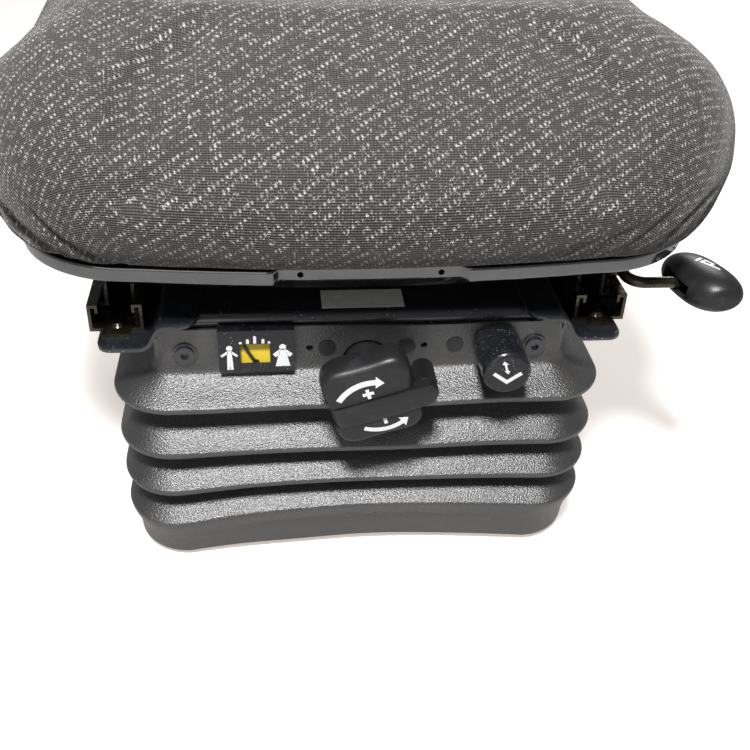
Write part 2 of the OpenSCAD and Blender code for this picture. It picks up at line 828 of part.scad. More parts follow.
module height_knob() {
    groove_r = 5;
    y0 = collar_y - 2.5;
    color(blackish) difference() {
        union() {
            y_rod(height_x, height_face_y + 3, y0, height_z, height_r);
            translate([height_x, height_face_y + 3, height_z]) rotate([90, 0, 0])
                cylinder(h = 3, r1 = height_r, r2 = height_r - 2.5);
        }
        for (i = [0 : 5])
            translate([height_x + (height_r + 3.4) * cos(60 * i + 15), y0 + 1,
                       height_z + (height_r + 3.4) * sin(60 * i + 15)])
                rotate([90, 0, 0]) cylinder(h = y0 - height_face_y - 4, r = groove_r);
        y_rod(height_x, height_face_y + 15, y0 + 1, height_z, 5);
    }
}

module height_cam() {
    y0 = housing_back + 1;
    color(bright) {
        y_rod(height_x, height_face_y + 15, y0 + 8, height_z, 5);
        y_rod(height_x, y0, y0 + 6, height_z, 11);
        y_rod(height_x - 5, y0, y0 + 6, height_z, 12);
    }
}

// Stamped bracket: an inner tab on the housing, a joggle, and a lower wing for the rail
module rail_bracket(side) {
    low = housing_top_z;
    top = low + bracket_t;
    slip = 1.5;
    section = [[tab_x, low], [joggle_x, low], [foot_x, wing_low_z], [wing_x, wing_low_z],
               [wing_x, wing_z], [foot_x + slip, wing_z], [joggle_x + slip, top], [tab_x, top]];
    color(steel_black) mirror([side < 0 ? 1 : 0, 0, 0]) difference() {
        front_plate(bracket_front_y, bracket_back_y) polygon(section);
        for (x = [tab_x, wing_x], y = [bracket_front_y, bracket_back_y]) {
            dx = x == tab_x ? 1 : -1;
            dy = y == bracket_front_y ? 1 : -1;
            corner = x == tab_x ? 15 : 10;
            translate([x, y, 150]) difference() {
                translate([dx > 0 ? -1 : -corner, dy > 0 ? -1 : -corner, 0])
                    cube([corner + 1, corner + 1, 100]);
                translate([dx * corner, dy * corner, -1]) cylinder(h = 102, r = corner);
            }
        }
        for (y = rail_bolt_y)
            translate([rail_x, y, 150]) cylinder(h = 100, r = 4 + running);
    }
}

module lower_rail(side) {
    hw = rail_w / 2;
    t = rail_t;
    section = [[-hw, wing_z], [hw, wing_z], [hw, rail_top_z], [lip_x, rail_top_z],
               [lip_x, rail_top_z - lip_drop], [lip_x + 2, rail_top_z - lip_drop],
               [lip_x + 2, rail_top_z - t], [hw - t, rail_top_z - t], [hw - t, rail_floor_z],
               [t - hw, rail_floor_z], [t - hw, rail_top_z - t], [-lip_x - 2, rail_top_z - t],
               [-lip_x - 2, rail_top_z - lip_drop], [-lip_x, rail_top_z - lip_drop],
               [-lip_x, rail_top_z], [-hw, rail_top_z]];
    color(olive) difference() {
        union() {
            translate([side * rail_x, 0, 0]) front_plate(rail_front_y, rail_back_y)
                polygon(section);
            translate([side * rail_x - 9, rail_front_y - 8, wing_z]) cube([18, 9, t]);
        }
        for (y = rail_bolt_y)
            translate([side * rail_x, y, 150]) cylinder(h = 60, r = 4 + running);
        if (side > 0)
            for (i = [-9 : 5])
                translate([rail_x + hw - t - 0.5, i * latch_pitch - latch_slot / 2, wing_z + 6])
                    cube([t + 1, latch_slot, 8]);
    }
}

module rail_bolts() {
    color(olive) for (side = [-1, 1], y = rail_bolt_y)
        translate([side * rail_x, y, 0]) {
            translate([0, 0, wing_z - rail_bolt_drop]) cylinder(h = rail_bolt_drop + rail_t, r = 4);
            translate([0, 0, rail_floor_z]) cylinder(h = 2.5, r1 = 6.5, r2 = 4);
            translate([0, 0, wing_low_z - 5]) cylinder(h = 5, r = 7, $fn = 6);
        }
}

module upper_rail(side) {
    t = 2.5;
    x1 = upper_leg_x;
    x2 = upper_foot_x;
    z0 = upper_foot_z;
    section = [[-x1, pan_low_z], [-x1, z0 + t], [-x2 + 2, z0 + t], [-x2 + 2, z0 + 5],
               [-x2, z0 + 5], [-x2, z0], [t - x1, z0], [t - x1, pan_low_z - t],
               [x1 - t, pan_low_z - t], [x1 - t, z0], [x2, z0], [x2, z0 + 5],
               [x2 - 2, z0 + 5], [x2 - 2, z0 + t], [x1, z0 + t], [x1, pan_low_z]];
    color(steel_black) difference() {
        translate([side * rail_x, 0, 0]) front_plate(upper_front_y, upper_back_y) polygon(section);
        for (y = pan_bolt_y)
            translate([side * rail_x, y, pan_low_z - 10]) cylinder(h = 20, r = 4 + running);
        for (y = rail_window_y)
            x_rod(side * rail_x - rail_w / 2, side * rail_x + rail_w / 2, y, pan_low_z - 7, 3.4);
    }
}

module pan_bolts() {
    floor_z = pan_low_z + 2 + pan_t;
    color(bright) for (side = [-1, 1], y = pan_bolt_y)
        translate([side * rail_x, y, 0]) {
            translate([0, 0, pan_low_z - 9]) cylinder(h = floor_z - pan_low_z + 9, r = 4);
            translate([0, 0, floor_z]) cylinder(h = 3, r = 7);
            translate([0, 0, pan_low_z - 2.5 - 5]) cylinder(h = 5, r = 6.4, $fn = 6);
        }
}

// Outline of the pan: a crowned front between two large corners
module pan_outline(inset) {
    r = pan_corner_r - inset;
    cx = pan_hw - pan_corner_r;
    cy = pan_front_y + 10 + pan_corner_r;
    rear_r = 60 - inset;
    crown = pan_crown_r - inset;
    hull() {
        for (s = [-1, 1]) {
            translate([s * cx, cy]) circle(r = r, $fn = 64);
            translate([s * (pan_hw - 60), pan_back_y - 60]) circle(r = rear_r);
        }
        polygon([for (a = [-7.4 : 1.48 : 7.4])
            [crown * sin(a), pan_front_y + pan_crown_r - crown * cos(a)]]);
    }
}

module pan_rim_outline(inset) {
    slope = 8;
    y = pan_front_y + recess_d + inset;
    difference() {
        pan_outline(inset);
        polygon([[-recess_hw - inset, -beyond], [recess_hw + inset, -beyond],
                 [recess_hw + inset, y - slope], [recess_hw - slope + inset, y],
                 [-recess_hw + slope - inset, y], [-recess_hw - inset, y - slope]]);
    }
}

module seat_pan() {
    dish_depth = rim_low_z - dish_low_z;
    dish_flare = (pan_hw - recess_d - ledge) / (pan_hw - dish_inset);
    pad_w = 24;
    color(blackish) difference() {
        union() {
            translate([0, 0, rim_low_z]) linear_extrude(height = rim_h) difference() {
                pan_rim_outline(0);
                pan_rim_outline(pan_t);
            }
            translate([0, 0, rim_low_z]) linear_extrude(height = pan_t) difference() {
                pan_rim_outline(0.5);
                pan_outline(recess_d + ledge + 4);
            }
            difference() {
                translate([0, 0, dish_low_z])
                    linear_extrude(height = dish_depth + pan_t, scale = dish_flare)
                        pan_outline(dish_inset);
                translate([0, 0, dish_low_z + pan_t])
                    linear_extrude(height = dish_depth + pan_t, scale = dish_flare)
                        pan_outline(dish_inset + pan_t);
            }
            for (side = [-1, 1])
                translate([side * rail_x - pad_w / 2, upper_front_y + 4, pan_low_z])
                    cube([pad_w, upper_back_y - upper_front_y - 12, 2.5]);
        }
        for (side = [-1, 1], y = pan_bolt_y)
            translate([side * rail_x, y, pan_low_z - 5]) cylinder(h = 15, r = 4 + running);
        for (x = [-44, 44])
            y_rod(x, pan_front_y - 10, pan_front_y + 20, rim_low_z + rim_h / 2, 2);
    }
}

// Outline of the cushion, grown from the pan's by a bulge that follows its height
module cushion_slice(z, out) {
    translate([0, 0, z]) linear_extrude(height = 1) hull() {
        for (s = [-1, 1]) {
            translate([s * (pan_hw - 74), pan_front_y + 10 + 76]) circle(r = 74 + out, $fn = 36);
            translate([s * (pan_hw - 60), 205 - 62]) circle(r = 50 + min(out, 12), $fn = 24);
        }
        translate([0, pan_front_y + cushion_front_r - cushion_swell])
            circle(r = cushion_front_r + out, $fn = 36);
    }
}

module seat_cushion() {
    z0 = cushion_low_z;
    h = cushion_h;
    w = cushion_over;
    color([0.25, 0.24, 0.25]) {
        hull() {
            cushion_slice(z0, w - 24);
            cushion_slice(z0 + 0.12 * h, w - 8);
            cushion_slice(z0 + 0.35 * h, w);
            cushion_slice(z0 + 0.62 * h, w - 3);
            cushion_slice(z0 + 0.82 * h, w - 18);
            cushion_slice(z0 + 0.94 * h, w - 46);
            cushion_slice(z0 + h - 1, w - 80);
        }
        translate([0, 0, rim_low_z + pan_t + soft_gap])
            linear_extrude(height = z0 - rim_low_z - pan_t) pan_outline(recess_d + ledge);
        hull() {
            translate([0, 0, rim_low_z + pan_t]) linear_extrude(height = 1)
                pan_outline(recess_d + ledge + 7);
            translate([0, 0, pan_low_z + 10]) linear_extrude(height = 1)
                pan_outline(dish_inset + pan_t + 2);
        }
    }
}

// Places things in the leaning frame of the backrest, at the top of the uprights' bend
module back_frame() {
    translate([0, back_pivot_y, back_pivot_z]) rotate([-back_lean, 0, 0]) children();
}

module backrest_upright(side) {
    x0 = side * upright_x - upright_w / 2;
    y = back_pivot_y;
    z = back_pivot_z;
    top_y = y + upright_len * sin(back_lean);
    top_z = z + upright_len * cos(back_lean);
    color(steel_black) difference() {
        side_plate(x0, x0 + upright_w) polygon([[y, rim_low_z - 6], [y, z], [top_y, top_z],
            [top_y + upright_t * cos(back_lean), top_z - upright_t * sin(back_lean)],
            [y + upright_t, z - upright_t * tan(back_lean / 2)], [y + upright_t, rim_low_z - 6]]);
        for (dx = upright_bolt_dx)
            y_rod(side * upright_x + dx, back_pivot_y - 5, back_pivot_y + 10,
                  rim_low_z + rim_h / 2, 3 + running);
    }
}

module backrest_bolts() {
    color(bright) for (side = [-1, 1], dx = upright_bolt_dx)
        translate([side * upright_x + dx, back_pivot_y + upright_t, rim_low_z + rim_h / 2])
            rotate([90, 0, 0]) {
                cylinder(h = upright_t - 0.1, r = 3);
                translate([0, 0, -4]) cylinder(h = 4, r = 5.2);
            }
}

module back_slice(y, inset) {
    low = back_low_z - back_pivot_z;
    r = 70;
    translate([0, y, low + back_h / 2]) rotate([90, 0, 0]) linear_extrude(height = 1) hull()
        for (sx = [-1, 1], sz = [-1, 1])
            translate([sx * (back_hw - r), sz * (back_h / 2 - r)])
                circle(r = r - inset, $fn = 32);
}

module backrest_shell() {
    color(blackish) back_frame() difference() {
        hull() {
            back_slice(-0.2, 12);
            back_slice(-14, 2);
            back_slice(-24, 0);
        }
        hull() {
            back_slice(-shell_t, 12 + shell_t);
            back_slice(-14, 2 + shell_t);
            back_slice(-30, shell_t);
        }
    }
}

module backrest_cushion() {
    gap = shell_t + soft_gap;
    color([0.25, 0.24, 0.25]) back_frame() hull() {
        back_slice(-gap - 1, 14 + gap);
        back_slice(-15, 3 + gap);
        back_slice(-26, 1 + gap);
        back_slice(-back_t * 0.6, 2);
        back_slice(-back_t * 0.85, 14);
        back_slice(-back_t, 44);
    }
}

module slide_lever() {
    bend = 12;
    color(olive) {
        y_rod(rod_x, rod_front_y + bend, rod_back_y, rod_z, rod_r);
        translate([rod_x + bend, rod_front_y + bend, rod_z])
            rotate(180) rotate_extrude(angle = 90) translate([bend, 0]) circle(r = rod_r);
        x_rod(rod_x + bend, lever_x + 2, rod_front_y, rod_z, rod_r);
    }
}

module lever_grip() {
    half_thick = 0.78;
    color(blackish) difference() {
        translate([lever_x, rod_front_y, rod_z]) scale([1, 1, half_thick]) hull() {
            translate([-5, 30, 0]) sphere(r = 15, $fn = 32);
            translate([0, 0, 0]) sphere(r = 18.5, $fn = 32);
            translate([6, -30, 0]) sphere(r = 16, $fn = 32);
        }
        x_rod(rod_x + 20, lever_x + 2, rod_front_y, rod_z, rod_r);
    }
}

module lever_guides() {
    z0 = rail_top_z + 1;
    color(steel_black) for (y = guide_y) difference() {
        translate([rod_x - 5, y - 5, z0]) cube([10, 10, dish_low_z - z0]);
        y_rod(rod_x, y - 6, y + 6, rod_z, rod_r + running);
    }
}

module rail_latch() {
    x0 = rail_x + rail_w / 2 + 0.7;
    y0 = -9 * latch_pitch - latch_tooth / 2;
    length = 2 * latch_pitch + latch_tooth;
    color(steel_black) difference() {
        union() {
            translate([x0 + 1, y0 - 4, wing_z + 5]) cube([3, length + 8, rod_z - wing_z - 4]);
            for (i = [0 : 2])
                translate([x0, y0 + i * latch_pitch, wing_z + 7]) cube([1.5, latch_tooth, 6]);
        }
        y_rod(rod_x, y0 - 5, y0 + length + 5, rod_z, rod_r);
    }
}

base_plate();
track(-1, low_pivot_z);  // base_track_left
track(1, low_pivot_z);  // base_track_right
bellows();
bump_stops();
damper_tube();
damper_pin(damper_low_z);  // damper_lower_pin
outer_arm(-1);  // outer_arm_left
outer_arm(1);  // outer_arm_right
cross_shaft(pivot_y, low_pivot_z, pivot_r, ear_x + ear_t + 1);  // outer_arm_shaft
cross_shaft(roller_y, high_pivot_z, roller_shaft_r, roller_x + roller_w + 0.5);  // upper_roller_shaft
centre_pins();
rollers(high_pivot_z);  // upper_rollers
inner_arm(-1);  // inner_arm_left
inner_arm(1);  // inner_arm_right
cross_shaft(pivot_y, high_pivot_z, pivot_r, ear_x + ear_t + 1);  // inner_arm_shaft
cross_shaft(roller_y, low_pivot_z, roller_shaft_r, roller_x + roller_w + 0.5);  // lower_roller_shaft
rollers(low_pivot_z);  // lower_rollers
upper_housing();
track(-1, high_pivot_z);  // upper_track_left
track(1, high_pivot_z);  // upper_track_right
stop_tubes();
damper_rod();
damper_pin(damper_high_z);  // damper_upper_pin
tension_springs();
collar_fasteners();
collar_studs();
indicator_box();
indicator_dial();
indicator_needle();
spindle();
spindle_bush();
spring_yoke();
weight_knob();
crank_pin();
crank_arm();
grip_pin();
crank_grip();
height_knob();
height_cam();
rail_bracket(-1);  // rail_bracket_left
rail_bracket(1);  // rail_bracket_right
lower_rail(-1);  // lower_rail_left
lower_rail(1);  // lower_rail_right
rail_bolts();
upper_rail(-1);  // upper_rail_left
upper_rail(1);  // upper_rail_right
pan_bolts();
seat_pan();
seat_cushion();
backrest_upright(-1);  // backrest_upright_left
backrest_upright(1);  // backrest_upright_right
backrest_bolts();
backrest_shell();
backrest_cushion();
slide_lever();
lever_grip();
lever_guides();
rail_latch();
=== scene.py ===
import math
import bpy
from mathutils import Matrix, Vector, noise


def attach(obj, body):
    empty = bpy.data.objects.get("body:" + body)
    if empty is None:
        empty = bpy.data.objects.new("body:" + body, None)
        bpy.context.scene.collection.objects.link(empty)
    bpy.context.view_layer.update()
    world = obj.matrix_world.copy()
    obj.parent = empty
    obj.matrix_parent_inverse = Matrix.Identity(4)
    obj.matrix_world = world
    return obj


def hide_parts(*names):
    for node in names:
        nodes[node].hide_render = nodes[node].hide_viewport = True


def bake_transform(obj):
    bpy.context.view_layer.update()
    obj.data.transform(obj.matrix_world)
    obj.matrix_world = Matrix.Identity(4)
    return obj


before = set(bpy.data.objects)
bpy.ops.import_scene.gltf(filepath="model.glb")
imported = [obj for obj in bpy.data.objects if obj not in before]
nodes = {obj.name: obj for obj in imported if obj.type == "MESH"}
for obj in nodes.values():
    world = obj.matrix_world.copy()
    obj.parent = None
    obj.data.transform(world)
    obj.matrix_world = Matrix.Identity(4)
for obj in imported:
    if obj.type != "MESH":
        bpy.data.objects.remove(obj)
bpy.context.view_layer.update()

# The studio: a white floor that keeps a soft warm shadow, and a white surround. The camera
# sees both as white; the light that they throw on the seat itself stays low.

MM = 0.001
scene = bpy.context.scene


class Field:
    """One value or colour in a finish; sums written on it add the nodes they need."""

    def __init__(self, finish, socket):
        self.finish, self.socket = finish, socket

    def sum(self, operation, a, b=0.0):
        return self.finish.add("ShaderNodeMath", {"operation": operation}, {0: a, 1: b})

    def __add__(self, other):
        return self.sum("ADD", self, other)

    def __sub__(self, other):
        return self.sum("SUBTRACT", self, other)

    def __rsub__(self, other):
        return self.sum("SUBTRACT", other, self)

    def __mul__(self, other):
        return self.sum("MULTIPLY", self, other)

    def __truediv__(self, other):
        return self.sum("DIVIDE", self, other)

    def __pow__(self, other):
        return self.sum("POWER", self, other)

    def __lt__(self, other):
        return self.sum("LESS_THAN", self, other)

    def __gt__(self, other):
        return self.sum("GREATER_THAN", self, other)

    __radd__ = __add__
    __rmul__ = __mul__

    def sine(self):
        return self.sum("SINE", self)

    def clamp(self, low=0.0, high=1.0):
        return self.finish.add("ShaderNodeClamp", {}, {"Value": self, "Min": low, "Max": high})

    def between(self, low, high, to_low=0.0, to_high=1.0):
        return self.finish.add("ShaderNodeMapRange", {"clamp": True}, {
            "Value": self, "From Min": low, "From Max": high, "To Min": to_low, "To Max": to_high})


class Finish:
    """A material whose nodes are added one at a time."""

    def __init__(self, name, **constants):
        self.material = bpy.data.materials.new(name)
        self.material.use_nodes = True
        self.tree = self.material.node_tree
        self.shader = self.tree.nodes["Principled BSDF"]
        self.set(**constants)

    def plug(self, socket, value):
        if isinstance(value, Field):
            self.tree.links.new(value.socket, socket)
        elif hasattr(socket.default_value, "__len__") and not hasattr(value, "__len__"):
            socket.default_value = [value] * len(socket.default_value)
        elif hasattr(value, "__len__") and len(value) == 3 and len(socket.default_value) == 4:
            socket.default_value = (*value, 1.0)
        else:
            socket.default_value = value

    def add(self, kind, settings, inputs, output=0):
        new = self.tree.nodes.new(kind)
        for key, value in settings.items():
            if key == "stops":
                ramp = new.color_ramp
                while len(ramp.elements) < len(value):
                    ramp.elements.new(0.5)
                for element, (place, colour) in zip(ramp.elements, value):
                    element.position, element.color = place, (*colour, 1.0)
            else:
                setattr(new, key, value)
        for key, value in inputs.items():
            self.plug(new.inputs[key], value)
        return Field(self, new.outputs[output])

    def set(self, **sockets):
        for key, value in sockets.items():
            self.plug(self.shader.inputs[key.replace("_", " ")], value)

    def place(self, scale=(1, 1, 1), location=(0, 0, 0), turn=(0, 0, 0)):
        spot = self.add("ShaderNodeTexCoord", {}, {}, "Object")
        return self.add("ShaderNodeMapping", {}, {
            "Vector": spot, "Scale": scale, "Location": location, "Rotation": turn})

    def noise(self, scale, detail=2.0, rough=0.5, vector=None, spread=0.0):
        return self.add("ShaderNodeTexNoise", {}, {
            "Vector": vector or self.place(), "Scale": scale, "Detail": detail,
            "Roughness": rough, "Distortion": spread})

    def specks(self, scale, size, vector=None):
        """1 inside small round specks, one in each cell, 0 elsewhere."""
        spot = vector or self.place()
        near = self.add("ShaderNodeTexVoronoi", {}, {"Vector": spot, "Scale": scale, "Randomness": 1.0})
        return near < size

    def mix(self, factor, a, b):
        new = self.tree.nodes.new("ShaderNodeMix")
        new.data_type = "RGBA"
        self.plug(new.inputs["Factor"], factor)
        self.plug(new.inputs[6], a)
        self.plug(new.inputs[7], b)
        return Field(self, new.outputs[2])

    def bump(self, height, strength=0.3, distance=0.001, normal=None):
        inputs = {"Height": height, "Strength": strength, "Distance": distance}
        if normal:
            inputs["Normal"] = normal
        return self.add("ShaderNodeBump", {}, inputs)


def deselect():
    if bpy.context.object and bpy.context.object.mode != "OBJECT":
        bpy.ops.object.mode_set(mode="OBJECT")
    bpy.ops.object.select_all(action="DESELECT")


def pick(*pieces):
    deselect()
    for piece in pieces:
        piece.select_set(True)
    bpy.context.view_layer.objects.active = pieces[-1]
    return pieces[-1]


def finish_piece(piece, name, material, smooth=30):
    """Names a piece, puts its place in its mesh and gives it its one material."""
    pick(piece)
    bpy.ops.object.transform_apply(location=True, rotation=True, scale=True)
    piece.name = piece.data.name = name
    piece.data.materials.clear()
    piece.data.materials.append(material)
    bpy.ops.object.shade_smooth_by_angle(angle=math.radians(smooth))
    return piece


def apply_modifier(piece, kind, **settings):
    pick(piece)
    modifier = piece.modifiers.new(kind.title(), kind)
    for key, value in settings.items():
        setattr(modifier, key, value)
    bpy.ops.object.modifier_apply(modifier=modifier.name)
    return piece


deselect()
bpy.ops.mesh.primitive_plane_add(size=9, location=(0, 0, -0.0005))
floor = bpy.context.object
floor.name = "studio_floor"
floor_paint = Finish("studio floor", Roughness=0.9, Specular_IOR_Level=0.1)
ripple = floor_paint.noise(3.0, 2.0)
ray = floor_paint.tree.nodes.new("ShaderNodeLightPath")
seen = sum(Field(floor_paint, ray.outputs[f"Is {kind} Ray"]) * share
           for kind, share in (("Camera", 1.0), ("Glossy", 0.3), ("Transmission", 1.0)))
white = floor_paint.mix(ripple, (0.93, 0.93, 0.93), (0.95, 0.95, 0.95))
floor_paint.set(Base_Color=floor_paint.mix(seen, (0.22, 0.22, 0.22), white))
glow = floor_paint.add("ShaderNodeEmission", {}, {
    "Color": (1.0, 0.9, 0.82), "Strength": seen * 0.5})
both = floor_paint.tree.nodes.new("ShaderNodeAddShader")
floor_paint.tree.links.new(floor_paint.shader.outputs[0], both.inputs[0])
floor_paint.tree.links.new(glow.socket, both.inputs[1])
floor_paint.tree.links.new(both.outputs[0], floor_paint.tree.nodes["Material Output"].inputs["Surface"])
floor.data.materials.append(floor_paint.material)

world = bpy.data.worlds.new("studio")
scene.world = world
world.use_nodes = True
sky = world.node_tree
sky_light = sky.nodes["Background"]
sky_light.inputs["Color"].default_value = (0.97, 0.98, 1.0, 1.0)
sky_light.inputs["Strength"].default_value = 0.18
sky_seen = sky.nodes.new("ShaderNodeBackground")
sky_seen.inputs["Color"].default_value = (1.0, 1.0, 1.0, 1.0)
sky_seen.inputs["Strength"].default_value = 1.0
sky_path = sky.nodes.new("ShaderNodeLightPath")
sky_any = sky.nodes.new("ShaderNodeMath")
sky_any.operation = "MAXIMUM"
sky.links.new(sky_path.outputs["Is Camera Ray"], sky_any.inputs[0])
sky.links.new(sky_path.outputs["Is Transmission Ray"], sky_any.inputs[1])
sky_mix = sky.nodes.new("ShaderNodeMixShader")
sky.links.new(sky_any.outputs[0], sky_mix.inputs[0])
sky.links.new(sky_light.outputs[0], sky_mix.inputs[1])
sky.links.new(sky_seen.outputs[0], sky_mix.inputs[2])
sky.links.new(sky_mix.outputs[0], sky.nodes["World Output"].inputs["Surface"])


def softbox(name, place, aim, size, power):
    bpy.ops.object.light_add(type="AREA", location=place)
    lamp = bpy.context.object
    lamp.name = name
    lamp.data.shape = "RECTANGLE"
    lamp.data.size, lamp.data.size_y = size
    lamp.data.energy = power
    lamp.rotation_euler = (Vector(aim) - Vector(place)).to_track_quat("-Z", "Y").to_euler()


softbox("key_softbox", (-0.17, -1.02, 1.6), (0, -0.15, 0.15), (0.24, 0.24), 40)
softbox("fill_softbox", (-0.7, -1.6, 0.7), (0, 0, 0.2), (1.2, 0.8), 3.5)
softbox("back_softbox", (0.8, 1.7, 1.3), (0, 0, 0.35), (1.0, 1.0), 14)

# The camera stands close in front of the seat, above it, and looks down at the controls.
camera_place = Vector((-0.0594, -0.7256, 0.5522))
pitch, yaw, roll = math.radians(34.66), math.radians(-6.85), math.radians(2.26)
ahead = Vector((-math.sin(yaw) * math.cos(pitch), math.cos(yaw) * math.cos(pitch), -math.sin(pitch)))
level_right = Vector((math.cos(yaw), math.sin(yaw), 0))
level_up = level_right.cross(ahead)
right = math.cos(roll) * level_right + math.sin(roll) * level_up
up = math.cos(roll) * level_up - math.sin(roll) * level_right
bpy.ops.object.camera_add()
camera = bpy.context.object
camera.matrix_world = Matrix.Translation(camera_place) @ Matrix((right, up, -ahead)).transposed().to_4x4()
camera.data.sensor_width = 36
camera.data.lens = 47.11
camera.data.clip_start = 0.02
scene.camera = camera
scene.view_settings.view_transform = "Standard"

# The base and the scissor inside the bellows are pressed sheet steel with a black dip coat.
# The coat is satin with a blue cast, and dust has settled on it in fine pale specks.


def dip_coat(name, colour, roughness=0.33, dust=0.12, gloss=1.6):
    coat = Finish(name, Metallic=0.0, IOR=gloss, Coat_IOR=gloss, Coat_Roughness=0.1)
    spot = coat.place()
    cloud = coat.noise(38, 4.0, 0.6, spot)
    fine = coat.noise(900, 2.0, 0.5, spot)
    dusty = coat.specks(330, dust, spot) * coat.noise(60, 3.0, 0.6, spot).between(0.44, 0.6)
    body = coat.mix(cloud.between(0.35, 0.7), colour, [c * 1.7 for c in colour])
    coat.set(Base_Color=coat.mix(dusty * 0.75, body, (0.55, 0.57, 0.6)),
             Roughness=(cloud * 0.2 + roughness - 0.1) + dusty * 0.4,
             Coat_Weight=cloud.between(0.3, 0.7, 0.8, 0.5),
             Normal=coat.bump(fine * 0.4 + cloud, 0.16, 0.0006))
    return coat.material


black_steel = dip_coat("black dip coated steel", (0.011, 0.012, 0.015))


def dress(material, *names):
    """Gives CAD nodes their finish."""
    for node in names:
        piece = nodes[node]
        piece.data.materials.clear()
        piece.data.materials.append(material)


dress(black_steel, "base_plate", "base_track_left", "base_track_right", "damper_tube",
      "outer_arm_left", "outer_arm_right", "inner_arm_left", "inner_arm_right", "upper_housing",
      "upper_track_left", "upper_track_right", "stop_tubes", "spindle_bush", "spring_yoke",
      "collar_fasteners", "rail_bracket_left", "rail_bracket_right", "upper_rail_left",
      "upper_rail_right", "seat_pan", "backrest_upright_left", "backrest_upright_right",
      "lever_guides", "rail_latch")

# Shafts, pins, springs and bolts are bright zinc plated steel, a little clouded by handling.


def zinc_plate(name, colour, roughness):
    zinc = Finish(name, Metallic=1.0)
    spot = zinc.place()
    cloud = zinc.noise(120, 4.0, 0.6, spot)
    scratch = zinc.noise(260, 3.0, 0.7, zinc.place((1, 8, 8)))
    zinc.set(Base_Color=zinc.mix(cloud.between(0.3, 0.7), colour, [c * 0.72 for c in colour]),
             Roughness=cloud * 0.2 + roughness,
             Normal=zinc.bump(scratch, 0.12, 0.0004))
    return zinc.material


bright_zinc = zinc_plate("bright zinc plated steel", (0.62, 0.63, 0.65), 0.22)
dress(bright_zinc, "damper_lower_pin", "damper_upper_pin", "damper_rod", "outer_arm_shaft",
      "upper_roller_shaft", "centre_pins", "inner_arm_shaft", "lower_roller_shaft",
      "tension_springs", "spindle", "grip_pin", "height_cam", "pan_bolts", "backrest_bolts")

# The rails and the slide lever's rod are olive passivated steel, wet with oil.


def oiled_rail(name):
    rail = Finish(name, Metallic=0.85, Coat_Weight=0.6, Coat_Roughness=0.06)
    spot = rail.place()
    patch = rail.noise(55, 5.0, 0.65, spot)
    grime = rail.noise(140, 3.0, 0.6, spot)
    drops = rail.noise(210, 1.0, 0.4, spot)
    colour = rail.mix(patch.between(0.35, 0.68), (0.105, 0.088, 0.05), (0.028, 0.024, 0.017))
    rail.set(Base_Color=rail.mix(grime.between(0.55, 0.75) * 0.6, colour, (0.01, 0.009, 0.008)),
             Roughness=patch.between(0.3, 0.7, 0.14, 0.38),
             Normal=rail.bump(drops * 0.7 + patch, 0.35, 0.0012))
    return rail.material


oiled_steel = oiled_rail("oiled olive rail steel")
dress(oiled_steel, "lower_rail_left", "lower_rail_right", "rail_bolts", "slide_lever")

# The rollers are natural nylon, and the bump stops are black rubber.
nylon = Finish("natural nylon", Roughness=0.4)
milk = nylon.noise(90, 3.0)
nylon.set(Base_Color=nylon.mix(milk, (0.74, 0.72, 0.66), (0.62, 0.6, 0.54)),
          Roughness=milk * 0.2 + 0.34, Normal=nylon.bump(milk, 0.1))
dress(nylon.material, "upper_rollers", "lower_rollers")

# The bellows is one moulding of black rubber: a collar that grips the housing, four folds
# with rolled edges, and a skirt that hangs over the base. Its skin is grained all over.
grained = Finish("grained black rubber", IOR=1.65, Specular_IOR_Level=1.0)
spot = grained.place()
pebble = grained.noise(950, 3.0, 0.62, spot)
pores = grained.add("ShaderNodeTexVoronoi", {}, {"Vector": spot, "Scale": 780.0, "Randomness": 1.0})
smear = grained.noise(16, 3.0, 0.6, spot)
chalk = grained.noise(240, 2.0, 0.6, spot).between(0.62, 0.75) * smear.between(0.5, 0.7)
rubber_tint = grained.mix(smear.between(0.35, 0.7), (0.022, 0.0215, 0.021), (0.042, 0.04, 0.0385))
grained.set(Base_Color=grained.mix(chalk * 0.35, rubber_tint, (0.12, 0.115, 0.11)),
            Roughness=pebble.between(0.3, 0.7, 0.28, 0.42),
            Normal=grained.bump(pebble + pores * 0.6, 0.55, 0.0007))
dress(grained.material, "bump_stops", "bellows")

CORNER_STEPS = 14
SIDE_STEPS = 26


def rounded_ring(half_w, half_d, radius):
    """Points of a rectangle with round corners, counter-clockwise from the front's middle."""
    points = []
    corners = ((1, -1, -90), (1, 1, 0), (-1, 1, 90), (-1, -1, 180))
    for sx, sy, start in corners:
        cx, cy = sx * (half_w - radius), sy * (half_d - radius)
        for step in range(CORNER_STEPS + 1):
            angle = math.radians(start + 90 * step / CORNER_STEPS)
            points.append(Vector((cx + radius * math.cos(angle), cy + radius * math.sin(angle))))
    ring = []
    for i, here in enumerate(points):
        ring.append(here)
        if i % (CORNER_STEPS + 1) == CORNER_STEPS:
            ahead_point = points[(i + 1) % len(points)]
            ring += [here.lerp(ahead_point, k / SIDE_STEPS) for k in range(1, SIDE_STEPS)]
    return ring


def rounded_profile(points, radii, steps=4):
    """A line of [inset_x, inset_y, radius, height] with each bend rounded off."""
    out = [points[0]]
    for i in range(1, len(points) - 1):
        before, here, after = (Vector(points[i + k]) for k in (-1, 0, 1))
        a = here.lerp(before, min(radii[i] / (before - here).length, 0.45))
        b = here.lerp(after, min(radii[i] / (after - here).length, 0.45))
        for k in range(steps + 1):
            t = k / steps
            out.append(a * (1 - t) ** 2 + here * (2 * t * (1 - t)) + b * t ** 2)
    out.append(points[-1])
    return out


